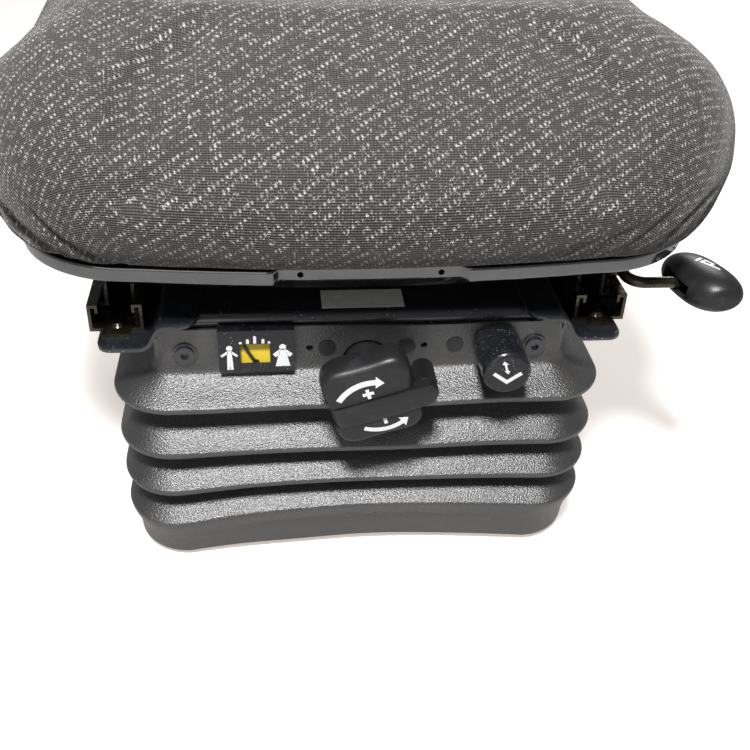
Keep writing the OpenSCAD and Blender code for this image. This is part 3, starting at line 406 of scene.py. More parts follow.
def wrapped_skin(rings, wave=None):
    """A skin through closed rings of points, made from a grid wrapped round."""
    around, high = len(rings[0]), len(rings)
    deselect()
    bpy.ops.mesh.primitive_grid_add(x_subdivisions=around, y_subdivisions=high - 1)
    skin = bpy.context.object
    for vertex in skin.data.vertices:
        column, row = vertex.index % (around + 1), vertex.index // (around + 1)
        point = Vector(rings[row][column % around])
        vertex.co = wave(point) if wave else point
    bpy.ops.object.mode_set(mode="EDIT")
    bpy.ops.mesh.select_all(action="SELECT")
    bpy.ops.mesh.remove_doubles(threshold=1e-6)
    bpy.ops.mesh.normals_make_consistent(inside=False)
    bpy.ops.object.mode_set(mode="OBJECT")
    return skin


def fold(inset, z):
    return (175 - inset, 184 - inset, 42 - inset, z)


bellows_line = [(143, 160, 12, 200), (143, 160, 12, 166), fold(10, 156.5), fold(0.6, 150.6),
                fold(1.4, 146.6), fold(27, 130.5), fold(12, 123), fold(0.6, 111.8), fold(1.4, 107.8),
                fold(27, 96), fold(12, 89.6), fold(0.6, 79.6), fold(1.4, 75.6), fold(27, 64.5),
                fold(12, 59.2), fold(0.6, 50.1), fold(1.4, 46.1), (171, 177, 40, 33),
                (170, 173, 40, 20), (170, 170, 40, 6.5)]
bellows_bends = [0, 6, 6, 2.2, 2.2, 5, 7, 2.2, 2.2, 5, 7, 2.2, 2.2, 5, 7, 2.2, 2.2, 6, 8, 0]
bellows_rings = []
for half_w, half_d, radius, z in rounded_profile(bellows_line, bellows_bends):
    bellows_rings.append([(p.x * MM, p.y * MM, z * MM)
                          for p in rounded_ring(half_w, half_d, radius)])


def slack(point):
    """The thin folds wave, and the lowest ones sag at one corner and draw in at mid side."""
    sway = noise.noise(Vector((point.x * 9, point.y * 9, point.z * 14))) * 0.0012
    lift = noise.noise(Vector((point.x * 13 + 7, point.y * 13, point.z * 6))) * 0.0016
    low = min(max((0.12 - point.z) / 0.08, 0), 1)
    front, flank = max(1 - (point.x / 0.13) ** 2, 0), max(1 - (point.y / 0.14) ** 2, 0)
    hollow = 0.004 + 0.004 * min(max((0.036 - point.z) / 0.004, 0), 1)
    sag = math.exp(-((point.x + 0.15) ** 2 + (point.y + 0.175) ** 2) / 0.0035)
    outward = Vector((point.x, point.y, 0)).normalized() * sway
    outward.x -= math.copysign(hollow * low * flank, point.x)
    outward.y -= math.copysign(hollow * low * front, point.y)
    outward.z = lift + low * (0.004 * (front + flank) - 0.005 * sag) * min(point.z / 0.04, 1)
    return point + outward


bellows = wrapped_skin(bellows_rings, slack)
apply_modifier(bellows, "SOLIDIFY", thickness=0.0021, offset=-1)


def cut(piece, *tools):
    for tool in tools:
        apply_modifier(piece, "BOOLEAN", operation="DIFFERENCE", object=tool, solver="EXACT")
        bpy.data.objects.remove(tool)
    return piece


def drill(x, y, z, radius, depth, steps=32):
    """A round cutter along Y."""
    deselect()
    bpy.ops.mesh.primitive_cylinder_add(vertices=steps, radius=radius, depth=depth,
                                        location=(x, y, z), rotation=(math.pi / 2, 0, 0))
    return bpy.context.object


def notch(low, high):
    """A square cutter between two corners."""
    deselect()
    middle = [(a + b) / 2 for a, b in zip(low, high)]
    bpy.ops.mesh.primitive_cube_add(size=1, location=middle)
    block = bpy.context.object
    block.scale = [b - a for a, b in zip(low, high)]
    bpy.ops.object.transform_apply(location=True, rotation=True, scale=True)
    return block


collar_cuts = [drill(0.002, -0.165, 0.171, 0.0172, 0.034), drill(0.092, -0.16, 0.1855, 0.008, 0.02)]
collar_cuts += [drill(x, -0.16, 0.183, 0.0024, 0.02, 20) for x in (-0.0373, 0.0419)]
collar_cuts += [notch((s * 0.145 - 0.009, -0.157, 0.191), (s * 0.145 + 0.009, 0.17, 0.22)) for s in (-1, 1)]
cut(bellows, *collar_cuts)
finish_piece(bellows, "folded_bellows", grained.material, 40)
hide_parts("bellows")
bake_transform(bellows)

# The housing is a pressed steel cover whose top edge is bent round; it carries two lightening
# holes in its top and the holes of the controls in its front.


def capped(rings, *poles):
    """Closes a stack of rings with a point at its first and last ends."""
    first, last = poles
    return [[first] * len(rings[0])] + rings + [[last] * len(rings[0])]


def housing_ring(inset, z):
    corner = max(8.7 - inset, 1.5)
    return [(p.x * MM, p.y * MM, z * MM) for p in rounded_ring(139.7 - inset, 156.7 - inset, corner)]


bend = [(7 * (1 - math.cos(math.radians(t))), 201 + 7 * math.sin(math.radians(t)))
        for t in range(0, 91, 10)]
housing_rings = [housing_ring(0, 167), housing_ring(0, 180)]
housing_rings += [housing_ring(inset, z) for inset, z in bend]
housing_rings += [housing_ring(inset, 208) for inset in (20, 50, 90, 130)]
housing = wrapped_skin(housing_rings + [[(0, 0, 0.208)] * len(housing_rings[0])])
apply_modifier(housing, "SOLIDIFY", thickness=0.003, offset=-1)
housing_cuts = [drill(0.002, -0.155, 0.171, 0.0175, 0.03), drill(0.092, -0.155, 0.1855, 0.00505, 0.03)]
for y in (-0.05, 0.07):
    deselect()
    bpy.ops.mesh.primitive_cylinder_add(vertices=48, radius=0.024, depth=0.03, location=(0, y, 0.208))
    housing_cuts.append(bpy.context.object)
cut(housing, *housing_cuts)
finish_piece(housing, "bent_housing", black_steel, 35)
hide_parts("upper_housing")
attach(housing, "upper_housing")

# Two brackets are pressed from steel strip: a flat tab on the housing, a step down outside
# it, and a wing that carries the rail. Their corners are round and their edges catch light.


def across(points, t):
    """A point a part of the way along a line of straight runs, by length."""
    lengths = [(Vector(b) - Vector(a)).length for a, b in zip(points, points[1:])]
    want = t * sum(lengths)
    for a, b, length in zip(points, points[1:], lengths):
        if want <= length:
            return Vector(a).lerp(Vector(b), want / length)
        want -= length
    return Vector(points[-1])


bracket_line = rounded_profile([(111, 211), (137.6, 211), (145.6, 195), (178, 195)], [0, 6, 6, 0], 5)
for side in (-1, 1):
    deselect()
    bpy.ops.mesh.primitive_grid_add(x_subdivisions=44, y_subdivisions=60)
    bracket = bpy.context.object
    for vertex in bracket.data.vertices:
        column, row = vertex.index % 45, vertex.index // 45
        spot = across(bracket_line, column / 44)
        trim = 0
        if spot.x < 126:
            trim = 15 - math.sqrt(max(15 ** 2 - (126 - spot.x) ** 2, 0))
        elif spot.x > 168:
            trim = 10 - math.sqrt(max(10 ** 2 - (spot.x - 168) ** 2, 0))
        low, high = -175 + trim, 150 - trim
        along = row / 60
        vertex.co = (side * spot.x * MM, (low + (high - low) * along) * MM, spot.y * MM)
    bpy.ops.object.mode_set(mode="EDIT")
    bpy.ops.mesh.select_all(action="SELECT")
    bpy.ops.mesh.normals_make_consistent(inside=False)
    if sum(face.normal.z for face in bracket.data.polygons) < 0:
        bpy.ops.mesh.flip_normals()
    bpy.ops.object.mode_set(mode="OBJECT")
    if sum(face.normal.z for face in bracket.data.polygons) < 0:
        bpy.ops.object.mode_set(mode="EDIT")
        bpy.ops.mesh.flip_normals()
        bpy.ops.object.mode_set(mode="OBJECT")
    apply_modifier(bracket, "SOLIDIFY", thickness=0.003, offset=-1)
    apply_modifier(bracket, "BEVEL", width=0.0007, segments=2, limit_method="ANGLE",
                   angle_limit=math.radians(50))
    finish_piece(bracket, f"pressed_bracket_{'left' if side < 0 else 'right'}", black_steel, 40)
    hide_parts(f"rail_bracket_{'left' if side < 0 else 'right'}")
    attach(bracket, "upper_housing")

# A blank white paper label is stuck on the housing's top, just behind the bend.
paper = Finish("white paper label", Roughness=0.5)
fibre = paper.noise(160, 3.0, 0.6)
paper.set(Base_Color=paper.mix(fibre.between(0.3, 0.7), (0.74, 0.74, 0.7), (0.92, 0.92, 0.88)),
          Roughness=fibre * 0.3 + 0.3, Normal=paper.bump(fibre, 0.2, 0.0004))
deselect()
bpy.ops.mesh.primitive_cube_add(size=1, location=(0, -0.138, 0.20811))
label = bpy.context.object
label.scale = (0.057, 0.024, 0.0002)
finish_piece(label, "blank_label", paper.material)
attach(label, "upper_housing")

# The indicator: a gloss black box on the collar with a yellow dial and a dark needle.
# Its white marks are printed: a thin figure, a fat figure and five rounded ticks.


def plastic(name, colour, roughness, grain_size, grain_depth, lint, dust=(0.5, 0.52, 0.55)):
    """A moulded plastic with a fine grain, a few scuffs and pale lint."""
    mould = Finish(name, IOR=1.5)
    spot = mould.place()
    grain = mould.noise(grain_size, 2.0, 0.5, spot)
    scuff = mould.noise(45, 4.0, 0.65, spot)
    bits = mould.specks(480, lint, spot) * mould.noise(85, 2.0, 0.6, spot).between(0.48, 0.62)
    haze = bits * 0.6 + scuff.between(0.5, 0.8) * 0.05
    mould.set(Base_Color=mould.mix(haze, colour, dust),
              Roughness=scuff * 0.16 + (roughness - 0.06) + bits * 0.3,
              Normal=mould.bump(grain * grain_depth + scuff, 0.2, 0.0005))
    return mould.material


gloss_black = plastic("gloss black plastic", (0.012, 0.0125, 0.015), 0.22, 900, 0.2, 0.17)
satin_black = plastic("satin black plastic", (0.015, 0.0152, 0.016), 0.36, 1100, 1.0, 0.08)
print_white = Finish("white print", Roughness=0.45)
ink = print_white.noise(300, 2.0)
print_white.set(Base_Color=print_white.mix(ink, (0.86, 0.86, 0.86), (0.95, 0.95, 0.95)),
                Roughness=ink * 0.2 + 0.35)
dial = Finish("yellow dial", Roughness=0.45)
shade = dial.noise(40, 2.0)
dial.set(Base_Color=dial.mix(shade, (0.86, 0.6, 0.03), (0.95, 0.74, 0.07)),
         Roughness=shade * 0.2 + 0.35)
dress(gloss_black, "indicator_box")
dress(satin_black, "indicator_needle", "collar_studs")
dress(dial.material, "indicator_dial")


def print_marks(name, outlines, frame_matrix, body, thickness=0.00015):
    """Thin raised print: outlines in mm on a face, x to the right and y up."""
    marks = []
    for outline in outlines:
        deselect()
        bpy.ops.mesh.primitive_circle_add(vertices=len(outline), fill_type="NGON")
        mark = bpy.context.object
        for vertex, (x, y) in zip(mark.data.vertices, outline):
            vertex.co = (x * MM, y * MM, 0)
        bpy.ops.object.mode_set(mode="EDIT")
        bpy.ops.mesh.select_all(action="SELECT")
        bpy.ops.mesh.extrude_region_move(TRANSFORM_OT_translate={"value": (0, 0, thickness)})
        bpy.ops.mesh.select_all(action="SELECT")
        bpy.ops.mesh.normals_make_consistent(inside=False)
        bpy.ops.object.mode_set(mode="OBJECT")
        marks.append(mark)
    joined = pick(*marks)
    if len(marks) > 1:
        bpy.ops.object.join()
    joined.matrix_world = frame_matrix
    finish_piece(joined, name, print_white.material)
    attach(joined, body)
    return joined


def facing_front(x, y, z, turn=0.0):
    """The frame of an upright face that looks to the front, turned in its own plane."""
    return (Matrix.Translation((x * MM, y * MM, z * MM))
            @ Matrix.Rotation(math.radians(-turn), 4, "Y") @ Matrix.Rotation(math.pi / 2, 4, "X"))


def disc(x, y, radius, steps=16):
    return [(x + radius * math.cos(math.tau * k / steps), y + radius * math.sin(math.tau * k / steps))
            for k in range(steps)]


def tick(x, y, length, width, lean=0.0):
    """A bar with a round top that stands on (x, y)."""
    half, c, s = width / 2, math.cos(math.radians(lean)), math.sin(math.radians(lean))
    shape = [(-half, 0), (half, 0)] + [(half * math.cos(math.radians(t)),
                                        length - half + half * math.sin(math.radians(t)))
                                       for t in range(0, 181, 30)]
    return [(x + u * c + v * s, y - u * s + v * c) for u, v in shape]


thin_figure = [disc(-91.6, 189.6, 2.1), [(-92.9, 188), (-90.3, 188), (-89.6, 179), (-89.4, 172.4),
               (-91.2, 172.4), (-91.5, 176), (-91.8, 172.4), (-93.6, 172.4), (-93.5, 179)],
               [(-92.8, 187.6), (-92.6, 185.6), (-96.8, 182.6), (-97.7, 184)],
               [(-90.4, 187.6), (-86.0, 184), (-86.8, 182.6), (-90.6, 185.6)]]
fat_figure = [disc(-55.9, 189.8, 2.3), [(-57.6, 188.4), (-54.2, 188.4), (-52.4, 181), (-50.9, 174.4),
              (-55.5, 174.4), (-55.9, 175.1), (-56.3, 174.4), (-60.9, 174.4), (-59.4, 181)],
              [(-57.4, 188.4), (-62.6, 184.2), (-60.8, 181.8), (-58.4, 183.4)],
              [(-54.4, 188.4), (-53.2, 183.4), (-51.2, 181.8), (-49.2, 184.2)]]
ticks = [tick(-74.4 + dx, 193.2 - abs(dx) * 0.02, length, 2.0, dx * 0.4)
         for dx, length in ((-9.6, 1.6), (-4.8, 3.6), (0, 5.8), (5.4, 3.6), (9.4, 1.6))]
print_marks("indicator_marks", thin_figure + fat_figure + ticks, facing_front(0, -169, 0),
            "upper_housing")

# The weight knob is a big soft moulding like a rounded square pillow, with a shoulder that
# draws in to its neck. A folding crank lies in a slot across its face.


def turned_skin(profile, reach, step=4, lift=None):
    """A closed skin about the Y axis: profile is [(y, scale)], reach is radius by angle."""
    angles = [math.radians(a) for a in range(0, 360, step)]
    rings = []
    for y, scale in profile:
        rings.append([(reach(a, y, scale) * math.cos(a) * MM, y * MM,
                       reach(a, y, scale) * math.sin(a) * MM) for a in angles])
    return wrapped_skin([[(0, profile[0][0] * MM, 0)] * len(angles)] + rings
                        + [[(0, profile[-1][0] * MM, 0)] * len(angles)])


def pillow_reach(angle, y, scale):
    squared = 29.5 / (math.cos(angle) ** 4 + math.sin(angle) ** 4) ** 0.25
    lobes = squared + 2.6 * ((1 - math.cos(4 * angle)) / 2) ** 2
    blend = min(max((-169 - y) / 25, 0), 1)
    blend = blend * blend * (3 - 2 * blend)
    return scale * (16 * (1 - blend) + lobes * blend)


knob_profile = [(-160, 1), (-165, 1)] + [(-168 - k * 1.5, 1) for k in range(0, 18)]
knob_profile += [(-196, 1.005), (-200, 1.01), (-204, 1.0), (-206.6, 0.985), (-208.4, 0.96),
                 (-209.8, 0.92), (-210.6, 0.87), (-211, 0.8), (-211.3, 0.5)]
knob = turned_skin(knob_profile, pillow_reach, 3)
slot = notch((-0.05, -0.216, -0.0126), (0.05, -0.2039, 0.0036))
knob_bore = drill(0.036, -0.195, -0.0045, 0.009, 0.045, 40)
heel_room = notch((-0.05, -0.216, -0.0126), (-0.0175, -0.2018, 0.0036))
cut(knob, slot, heel_room, knob_bore)
on_knob = Matrix.Translation((0.002, 0, 0.171)) @ Matrix.Rotation(math.radians(-17.4), 4, "Y")
knob.matrix_world = on_knob
finish_piece(knob, "pillow_knob", satin_black, 35)
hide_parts("weight_knob")
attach(knob, "weight_knob")

deselect()
bpy.ops.mesh.primitive_cube_add(size=1, location=(0.0078, -0.2085, -0.0045))
crank = bpy.context.object
crank.scale = (0.0716, 0.008, 0.015)
bpy.ops.object.transform_apply(location=True, rotation=True, scale=True)
bpy.ops.object.mode_set(mode="EDIT")
bpy.ops.mesh.select_all(action="SELECT")
bpy.ops.mesh.subdivide(number_cuts=19)
bpy.ops.object.mode_set(mode="OBJECT")
for vertex in crank.data.vertices:
    x, y, z = vertex.co
    tip = min(max((x - 0.0345) / 0.0092, 0), 1)
    narrow = math.sqrt(max(1 - tip * tip, 0.02))
    bow = 0.0016 * (1 - ((x - 0.0078) / 0.0358) ** 2)
    if y < -0.2085:
        y -= bow + 0.0012 * (1 - ((z + 0.0045) / 0.0075) ** 2) - 0.0006
    heel = min(max((-0.024 - x) / 0.004, 0), 1)
    y = -0.2085 + (y + 0.2085) * math.sqrt(max(1 - heel * heel, 0.03))
    vertex.co = (x, y, -0.0045 + (z + 0.0045) * narrow)
apply_modifier(crank, "BEVEL", width=0.0012, segments=3, limit_method="ANGLE",
               angle_limit=math.radians(50))
crank.matrix_world = on_knob
finish_piece(crank, "folding_crank", satin_black, 50)
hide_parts("crank_arm")
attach(crank, "crank")


def ribbed(angle, y, scale):
    return scale * (7.45 + 0.55 * math.cos(26 * angle) * (1 if -203 < y < -179 else 0))


grip_profile = [(-204.1, 0.97), (-203.4, 1), (-202.9, 1)] + [(y, 1) for y in range(-201, -179, 3)]
grip_profile += [(-180.4, 0.99), (-179, 0.94), (-178.3, 0.82), (-178.1, 0.6)]
grip = turned_skin(grip_profile, ribbed, 2)
grip.matrix_world = on_knob @ Matrix.Translation((0.036, 0, -0.0045))
finish_piece(grip, "ribbed_grip", satin_black, 40)
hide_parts("crank_grip")
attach(grip, "crank_grip")
brass = zinc_plate("plain brass", (0.72, 0.5, 0.2), 0.25)
dress(brass, "crank_pin")
deselect()
bpy.ops.mesh.primitive_cylinder_add(vertices=24, radius=0.0017, depth=0.012, location=(-0.0215, -0.199, 0.0234))
pin_end = bpy.context.object
apply_modifier(pin_end, "BEVEL", width=0.0004, segments=2, limit_method="ANGLE")
pin_end.matrix_world = on_knob @ pin_end.matrix_world
finish_piece(pin_end, "brass_pin_end", brass)
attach(pin_end, "weight_knob")


def arc_arrow(cx, cy, radius, start, end, width, head):
    """A curved arrow from one angle to another, clockwise or not, with a plain head."""
    steps = 12
    sense = 1 if end > start else -1
    neck = end - sense * math.degrees(head * 1.25 / radius)
    line = [start + (neck - start) * k / steps for k in range(steps + 1)]

    def at(r, a):
        return (cx + r * math.cos(math.radians(a)), cy + r * math.sin(math.radians(a)))

    outer = [at(radius + width / 2, a) for a in line]
    inner = [at(radius - width / 2, a) for a in reversed(line)]
    return outer + [at(radius + head, neck), at(radius, end), at(radius - head, neck)] + inner


knob_marks = [arc_arrow(-1.5, -10.5, 27.5, 135, 62, 4.0, 4.6),
              [(-0.9 + u, 8.6 + v) for u, v in ((-3.8, -1.2), (-1.2, -1.2), (-1.2, -3.8), (1.2, -3.8),
               (1.2, -1.2), (3.8, -1.2), (3.8, 1.2), (1.2, 1.2), (1.2, 3.8), (-1.2, 3.8),
               (-1.2, 1.2), (-3.8, 1.2))],
              arc_arrow(4.5, 4.5, 27.0, 235, 303, 3.0, 4.2), [(2.8, -18.4), (5.2, -18.4), (5.2, -13.8), (2.8, -13.8)]]
print_marks("knob_marks", knob_marks, on_knob @ facing_front(0, -211.2, 0), "weight_knob", 0.0002)

# The height knob is a long gloss moulding with six shallow grooves and a flat front face.


def fluted(angle, y, scale):
    fade = min(max((y + 200.5) / 3, 0), 1)
    groove = 0
    for k in range(6):
        away = math.remainder(angle - math.radians(60 * k + 15), math.tau)
        groove = max(groove, math.exp(-(away / 0.13) ** 2))
    return scale * (16.5 - 1.35 * groove * fade)


height_profile = [(-162.5, 0.97), (-163.5, 1)] + [(y, 1) for y in range(-166, -199, -4)]
height_profile += [(-199, 1), (-200.3, 0.985), (-201.6, 0.93), (-202.4, 0.87), (-202.8, 0.825),
                   (-202.75, 0.79), (-202.75, 0.5)]
height_knob = turned_skin(height_profile, fluted, 3)
height_knob.matrix_world = Matrix.Translation((0.092, 0, 0.1855))
finish_piece(height_knob, "fluted_knob", gloss_black, 40)
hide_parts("height_knob")
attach(height_knob, "height_knob")
vee = [(-10.2, 0.2), (-8.6, 2.2), (0, -4.0), (8.6, 2.2), (10.2, 0.2), (0, -7.2)]
shaft = [(-1.9, 2.6), (1.9, 2.6), (1.9, 3.2), (0.75, 3.2), (0.75, 8.2), (1.9, 8.2), (1.9, 8.8),
         (0, 10.8), (-1.9, 8.8), (-1.9, 8.2), (-0.75, 8.2), (-0.75, 3.2), (-1.9, 3.2)]
shaft[0:2] = [(0, 0.6)]
print_marks("height_marks", [vee, [(x - 1.2 + (y - 5) * -0.35, y) for x, y in shaft]],
            facing_front(92, -202.75, 185), "height_knob", 0.0002)

# The seat pan is a gloss black pressing: a shallow dish with a ledge and an upright rim,
# whose front steps back between the rails.
gloss_steel = dip_coat("gloss dip coated steel", (0.009, 0.0095, 0.012), 0.16, 0.06, 2.0)


def pan_line(points_per_arc=24):
    """The pan's outline at its rim, counter-clockwise from the front's middle."""
    line = []

    def arc(cx, cy, r, start, end, steps):
        for k in range(steps):
            a = math.radians(start + (end - start) * k / steps)
            line.append(Vector((cx + r * math.cos(a), cy + r * math.sin(a))))

    crown = 1085
    for k in range(60):
        a = math.radians(7.4 * k / 60)
        line.append(Vector((crown * math.sin(a), -200 + crown - crown * math.cos(a))))
    arc(147, -113, 77, -82.6, 0, points_per_arc)
    line.extend(Vector((224, -113 + (268) * k / 24)) for k in range(24))
    arc(164, 155, 60, 0, 90, points_per_arc)
    line.extend(Vector((164 - 164 * k / 20, 215)) for k in range(20))
    half = line[:]
    line.append(Vector((0, 215)))
    line.extend(Vector((-p.x, p.y)) for p in reversed(half[1:]))
    return line


def step_back(x):
    t = min(max((62 - abs(x)) / 8, 0), 1)
    return 7 * t * t * (3 - 2 * t)


def inset_line(line, inset):
    """The same outline moved inward along its normals."""
    moved = []
    for i, here in enumerate(line):
        along = line[(i + 1) % len(line)] - line[i - 1]
        inward = Vector((-along.y, along.x)).normalized()
        moved.append(here + inward * inset)
    return moved


pan_outline = pan_line()


def pan_ring(inset, z, step=1.0):
    ring = []
    for p in inset_line(pan_outline, inset):
        y = p.y + (step_back(p.x) * step if p.y < -150 else 0)
        ring.append((p.x * MM, y * MM, z * MM))
    return ring


def shrunk_ring(inset, scale, z):
    return [(x * scale, y * scale, z * MM) for x, y, _ in pan_ring(inset, z, 0)]


pan_profile = rounded_profile([(40, 230), (22, 252), (2.2, 252), (0, 254), (0, 261.6), (0.6, 263),
                               (1.5, 263)], [0, 5, 2, 1, 1, 0.6, 0], 3)
pan_rings = [shrunk_ring(40, s, 230) for s in (0.25, 0.5, 0.75)]
pan_rings += [pan_ring(inset, z, min(max((z - 246) / 6, 0), 1)) for inset, z in pan_profile]
pan = wrapped_skin([[(0, 0, 0.23)] * len(pan_outline)] + pan_rings)
apply_modifier(pan, "SOLIDIFY", thickness=0.0016, offset=-1)
cut(pan, *[drill(x, -0.19, 0.2575, 0.002, 0.03, 20) for x in (-0.044, 0.044)])
finish_piece(pan, "pressed_pan", gloss_steel, 35)
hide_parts("seat_pan")
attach(pan, "seat")

# The cushion is moulded foam in a fitted cover of charcoal cloth, tucked into the pan.
# The cover is ribbed across, flecked in slanting rows, and pleated at its front corners.


def smooth(t):
    t = min(max(t, 0), 1)
    return t * t * (3 - 2 * t)


def soften(piece, hold_below, reach):
    """Puffs a stuffed piece up as cloth over pressure, and keeps each move within reach."""
    rest = [vertex.co.copy() for vertex in piece.data.vertices]
    held = piece.vertex_groups.new(name="held")
    held.add([v.index for v in piece.data.vertices if hold_below(v.co)], 1.0, "REPLACE")
    pick(piece)
    bpy.ops.object.modifier_add(type="CLOTH")
    cloth = piece.modifiers[-1]
    cloth.settings.quality = 4
    cloth.settings.mass = 0.25
    cloth.settings.tension_stiffness = cloth.settings.compression_stiffness = 25
    cloth.settings.bending_stiffness = 3
    cloth.settings.use_pressure = True
    cloth.settings.uniform_pressure_force = 4
    cloth.settings.vertex_group_mass = "held"
    cloth.settings.effector_weights.gravity = 0
    cloth.point_cache.frame_start, cloth.point_cache.frame_end = 1, 20
    for step in range(1, 21):
        scene.frame_set(step)
    bpy.ops.object.modifier_apply(modifier=cloth.name)
    scene.frame_set(1)
    for vertex, start in zip(piece.data.vertices, rest):
        move = vertex.co - start
        if move.length > reach:
            vertex.co = start + move * (reach / move.length)
    piece.vertex_groups.clear()


def cushion_ring(out, z, crown=0.0):
    ring = []
    for p in inset_line(pan_outline, -out):
        x, y = p.x, min(p.y, 203 if out > -30 else 215 + out)
        ring.append((x * MM, y * MM, (z + crown * (1 - (x / 240) ** 2)) * MM))
    return ring


side_profile = [(-30, 246), (-24, 256), (-12, 263), (0, 265), (9, 269), (16, 278), (20, 292), (22, 312),
                (20, 334), (13, 354), (1, 370), (-15, 381), (-35, 387), (-58, 389)]
cushion_rings = [[(x * s, y * s, 0.244) for x, y, _ in cushion_ring(-26, 244)] for s in (0.3, 0.6, 0.85)]
cushion_rings += [cushion_ring(out, z) for out, z in side_profile]
top_ring = cushion_ring(-58, 389)
cushion_rings += [[(x * s, y * s, 0.389 + 0.001 * (1 - s)) for x, y, _ in top_ring]
                  for s in (0.8, 0.55, 0.3, 0.12)]
cushion = wrapped_skin([[(0, 0, 0.244)] * len(top_ring)] + cushion_rings
                       + [[(0, 0, 0.389)] * len(top_ring)])
apply_modifier(cushion, "REMESH", mode="VOXEL", voxel_size=0.0056)
soften(cushion, lambda co: co.z < 0.27, 0.013)
apply_modifier(cushion, "SMOOTH", factor=0.5, iterations=3)
apply_modifier(cushion, "SUBSURF", levels=1, render_levels=1)


def crease(point, start, end, depth, width, bow=0.0):
    """How deep a fold line between two points in the X-Z view is at a point."""
    a, b = Vector(start), Vector(end)
    here = Vector((point.x, point.z)) / MM
    along = (here - a).dot(b - a) / (b - a).length_squared
    if not -0.1 < along < 1.1:
        return 0.0
    middle = a.lerp(b, along)
    normal = Vector((-(b - a).y, (b - a).x)).normalized()
    middle += normal * bow * math.sin(math.pi * min(max(along, 0), 1))
    away = (here - middle).length
    fade = math.sin(math.pi * min(max(along * 0.9 + 0.05, 0), 1)) ** 0.6
    return depth * fade * math.exp(-(away / width) ** 2)


pleats = [((-243, 318), (-188, 268), 5.5, 2.6, -7), ((-228, 306), (-172, 267), 5.0, 2.4, -6),
          ((-202, 306), (-150, 268), 4.0, 2.3, -5), ((-246, 296), (-214, 268), 4.0, 2.4, -4),
          ((130, 272), (168, 300), 2.2, 3.0, 3), ((150, 270), (196, 312), 2.6, 3.2, 3),
          ((176, 272), (216, 306), 2.4, 3.0, 3), ((110, 270), (136, 288), 1.6, 2.6, 2)]
outward = [vertex.normal.copy() for vertex in cushion.data.vertices]
for vertex, normal in zip(cushion.data.vertices, outward):
    point = vertex.co.copy()
    depth = noise.noise(point * 9) * 0.7
    if point.y < 0 and point.z > 0.25 and abs(point.x) > 0.1:
        depth += sum(crease(point, *pleat) for pleat in pleats)
    vertex.co = point - normal * depth * MM
cushion.data.update()


def lay_cloth(piece, face_up, low, high, flat, middle, bend):
    """A layout for the weave: flat on the face, then on round the bend in the way it leaves it."""
    layout = piece.data.uv_layers.new(name="weave")
    for loop in piece.data.loops:
        point = face_up @ piece.data.vertices[loop.vertex_index].co
        core = Vector((min(max(point.x, low[0]), high[0]), min(max(point.y, low[1]), high[1])))
        away = Vector((point.x, point.y)) - core
        run = away.length
        if run > 1e-6:
            turn = math.atan2(max(run - flat, 0), point.z - middle)
            core += away / run * (min(run, flat) + bend * turn)
        layout.data[loop.index].uv = core


def woven_cloth(name):
    cloth = Finish(name, Roughness=0.85, Sheen_Weight=0.25, Sheen_Roughness=0.4, IOR=1.4)
    spot = cloth.add("ShaderNodeUVMap", {"uv_map": "weave"}, {})
    wander = cloth.noise(55, 2.0, 0.5, spot)
    across_run = cloth.add("ShaderNodeSeparateXYZ", {}, {"Vector": spot})
    up_run = Field(cloth, across_run.socket.node.outputs[1])
    ribs = (up_run * 4900 + wander * 2.0).sine()
    picks = (across_run * 3300 + wander * 2.0).sine()
    row = ((across_run * -0.52 + up_run * 0.85) * 1150 + wander * 2.4).sine()
    beat = ((across_run * 0.85 + up_run * 0.52) * 2100 + wander * 6.0).sine()
    chance = cloth.noise(520, 2.0, 0.6, spot)
    patch = cloth.noise(150, 2.0, 0.5, spot)
    bead = row.between(0.1, 0.9) * beat.between(-0.3, 0.6) * (chance + patch).between(0.92, 1.14)
    lone = cloth.noise(760, 1.0, 0.5, spot).between(0.58, 0.68) * patch.between(0.42, 0.6)
    fleck = (bead + lone * 0.8).clamp()
    yarn = cloth.mix((ribs * 0.5 + 0.5) * 0.7 + picks * 0.12 + chance * 0.3,
                     (0.014, 0.013, 0.0135), (0.12, 0.11, 0.103))
    cloth.set(Base_Color=cloth.mix(fleck * 0.9, yarn, (0.6, 0.57, 0.54)),
              Roughness=fleck * -0.2 + 0.9,
              Normal=cloth.bump(ribs * 0.5 + picks * 0.2 + fleck * 1.1, 0.7, 0.0007))
    return cloth.material


seat_cloth = woven_cloth("charcoal flecked cloth")
lay_cloth(cushion, Matrix(), (-0.15, -0.11), (0.15, 0.15), 0.036, 0.325, 0.062)
finish_piece(cushion, "cloth_cushion", seat_cloth, 60)
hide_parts("seat_cushion")
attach(cushion, "seat")

# The backrest has the same cloth over foam, in a thin moulded shell on two flat uprights.
leaning = Matrix.Translation((0, 0.215, 0.33)) @ Matrix.Rotation(math.radians(-8), 4, "X")


def back_ring(inset, y, step_count=0):
    return [(p.x * MM, y * MM, (262 + p.y) * MM)
            for p in rounded_ring(218 - inset, 190 - inset, max(70 - inset, 4))]


def back_skin(profile):
    rings = [back_ring(inset, y) for inset, y in profile]
    first, last = profile[0][1] * MM, profile[-1][1] * MM
    count = len(rings[0])
    flat = [[(x * s, y, 0.262 + (z - 0.262) * s) for x, y, z in rings[0]] for s in (0.3, 0.7)]
    over = [[(x * s, y - 0.001 * (1 - s), 0.262 + (z - 0.262) * s) for x, y, z in rings[-1]]
            for s in (0.8, 0.5, 0.25)]
    skin = wrapped_skin([[(0, first, 0.262)] * count] + flat + rings + over
                        + [[(0, last - 0.001, 0.262)] * count])
    skin.matrix_world = leaning
    bpy.ops.object.transform_apply(location=True, rotation=True, scale=True)
    return skin


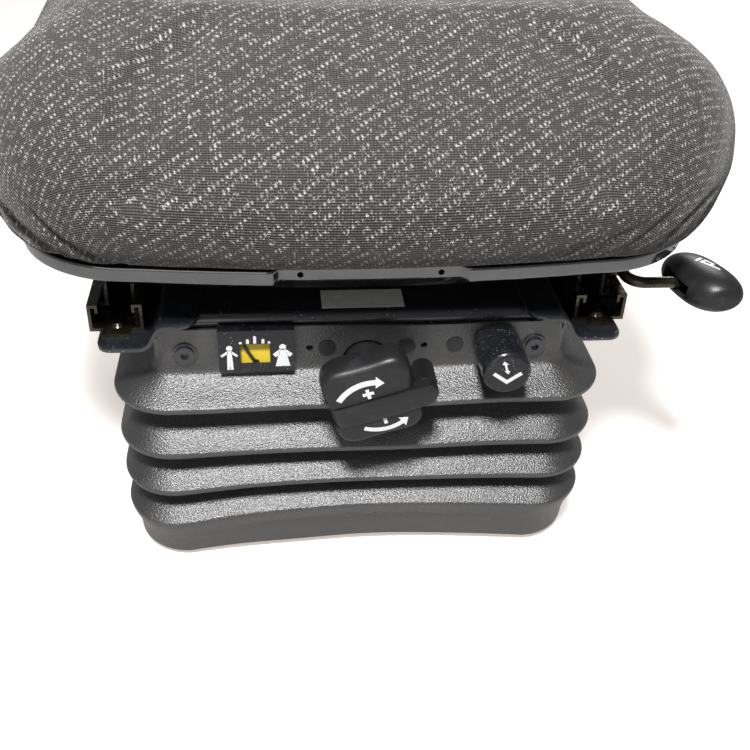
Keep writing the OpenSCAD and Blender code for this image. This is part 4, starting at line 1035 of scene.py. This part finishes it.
backrest = back_skin([(20, -6), (12, -9), (8, -16), (6, -26), (6, -40), (10, -54), (18, -64),
                      (30, -71), (48, -75), (70, -77)])
apply_modifier(backrest, "REMESH", mode="VOXEL", voxel_size=0.005)
soften(backrest, lambda co: (leaning.inverted() @ co).y > -0.024, 0.012)
apply_modifier(backrest, "SMOOTH", factor=0.5, iterations=3)
apply_modifier(backrest, "SUBSURF", levels=1, render_levels=1)
lay_cloth(backrest, Matrix.Rotation(math.radians(-90), 4, "X") @ leaning.inverted(),
          (-0.148, 0.142), (0.148, 0.382), 0.03, 0.045, 0.038)
finish_piece(backrest, "cloth_backrest", seat_cloth, 60)
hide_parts("backrest_cushion")
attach(backrest, "seat")
dress(satin_black, "backrest_shell")

# The slide lever's grip is a black moulded oval on the rod, with a white slide symbol.
grip_turn = Matrix.Translation((0.234, -0.153, 0.2248))
lever_profile = []
for k in range(1, 32):
    y = -34 + 68 * k / 32
    lever_profile.append((y, 19.5 * max(1 - abs(y / 34.2) ** 2.8, 0) ** (1 / 2.1)))
lever = turned_skin(lever_profile, lambda angle, y, scale: scale, 6)
for vertex in lever.data.vertices:
    x, y, z = vertex.co
    along = y / 0.034
    vertex.co = (x * (1 - 0.1 * along) - 0.006 * along, y, z * 0.8 - 0.003 * along)
cut(lever, notch((-0.03, -0.017, -0.0052), (-0.0065, 0.016, 0.0052)))
lever.matrix_world = grip_turn
finish_piece(lever, "lever_oval", satin_black, 60)
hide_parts("lever_grip")
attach(lever, "slide_lever")
slide_symbol = [[(-9.5, -3), (-7.3, -3), (-7.3, 3), (-9.5, 3)],
                [(-5.2, -3), (-3.4, -3), (-3.4, 3), (-5.2, 3)],
                [(-3.4, 1.4), (3.2, 1.4), (3.2, 3), (-3.4, 3)], [(-3.4, -3), (3.2, -3), (3.2, -1.4), (-3.4, -1.4)],
                [(1.6, -1.4), (3.2, -1.4), (3.2, 1.4), (1.6, 1.4)], [(3.2, -3), (10.5, -2.2), (10.5, -1), (3.2, -1.2)]]
high = 0.26
symbol = print_marks("slide_symbol", slide_symbol, Matrix.Translation((0.2358, -0.156, high))
                     @ Matrix.Rotation(math.radians(-58), 4, "Z"), "slide_lever", 0.0005)
for vertex in symbol.data.vertices:
    hit, spot, _, _ = lever.ray_cast((vertex.co.x, vertex.co.y, 1), (0, 0, -1))
    vertex.co.z = spot.z + (0.0003 if vertex.co.z > high + 0.0002 else -0.0003)
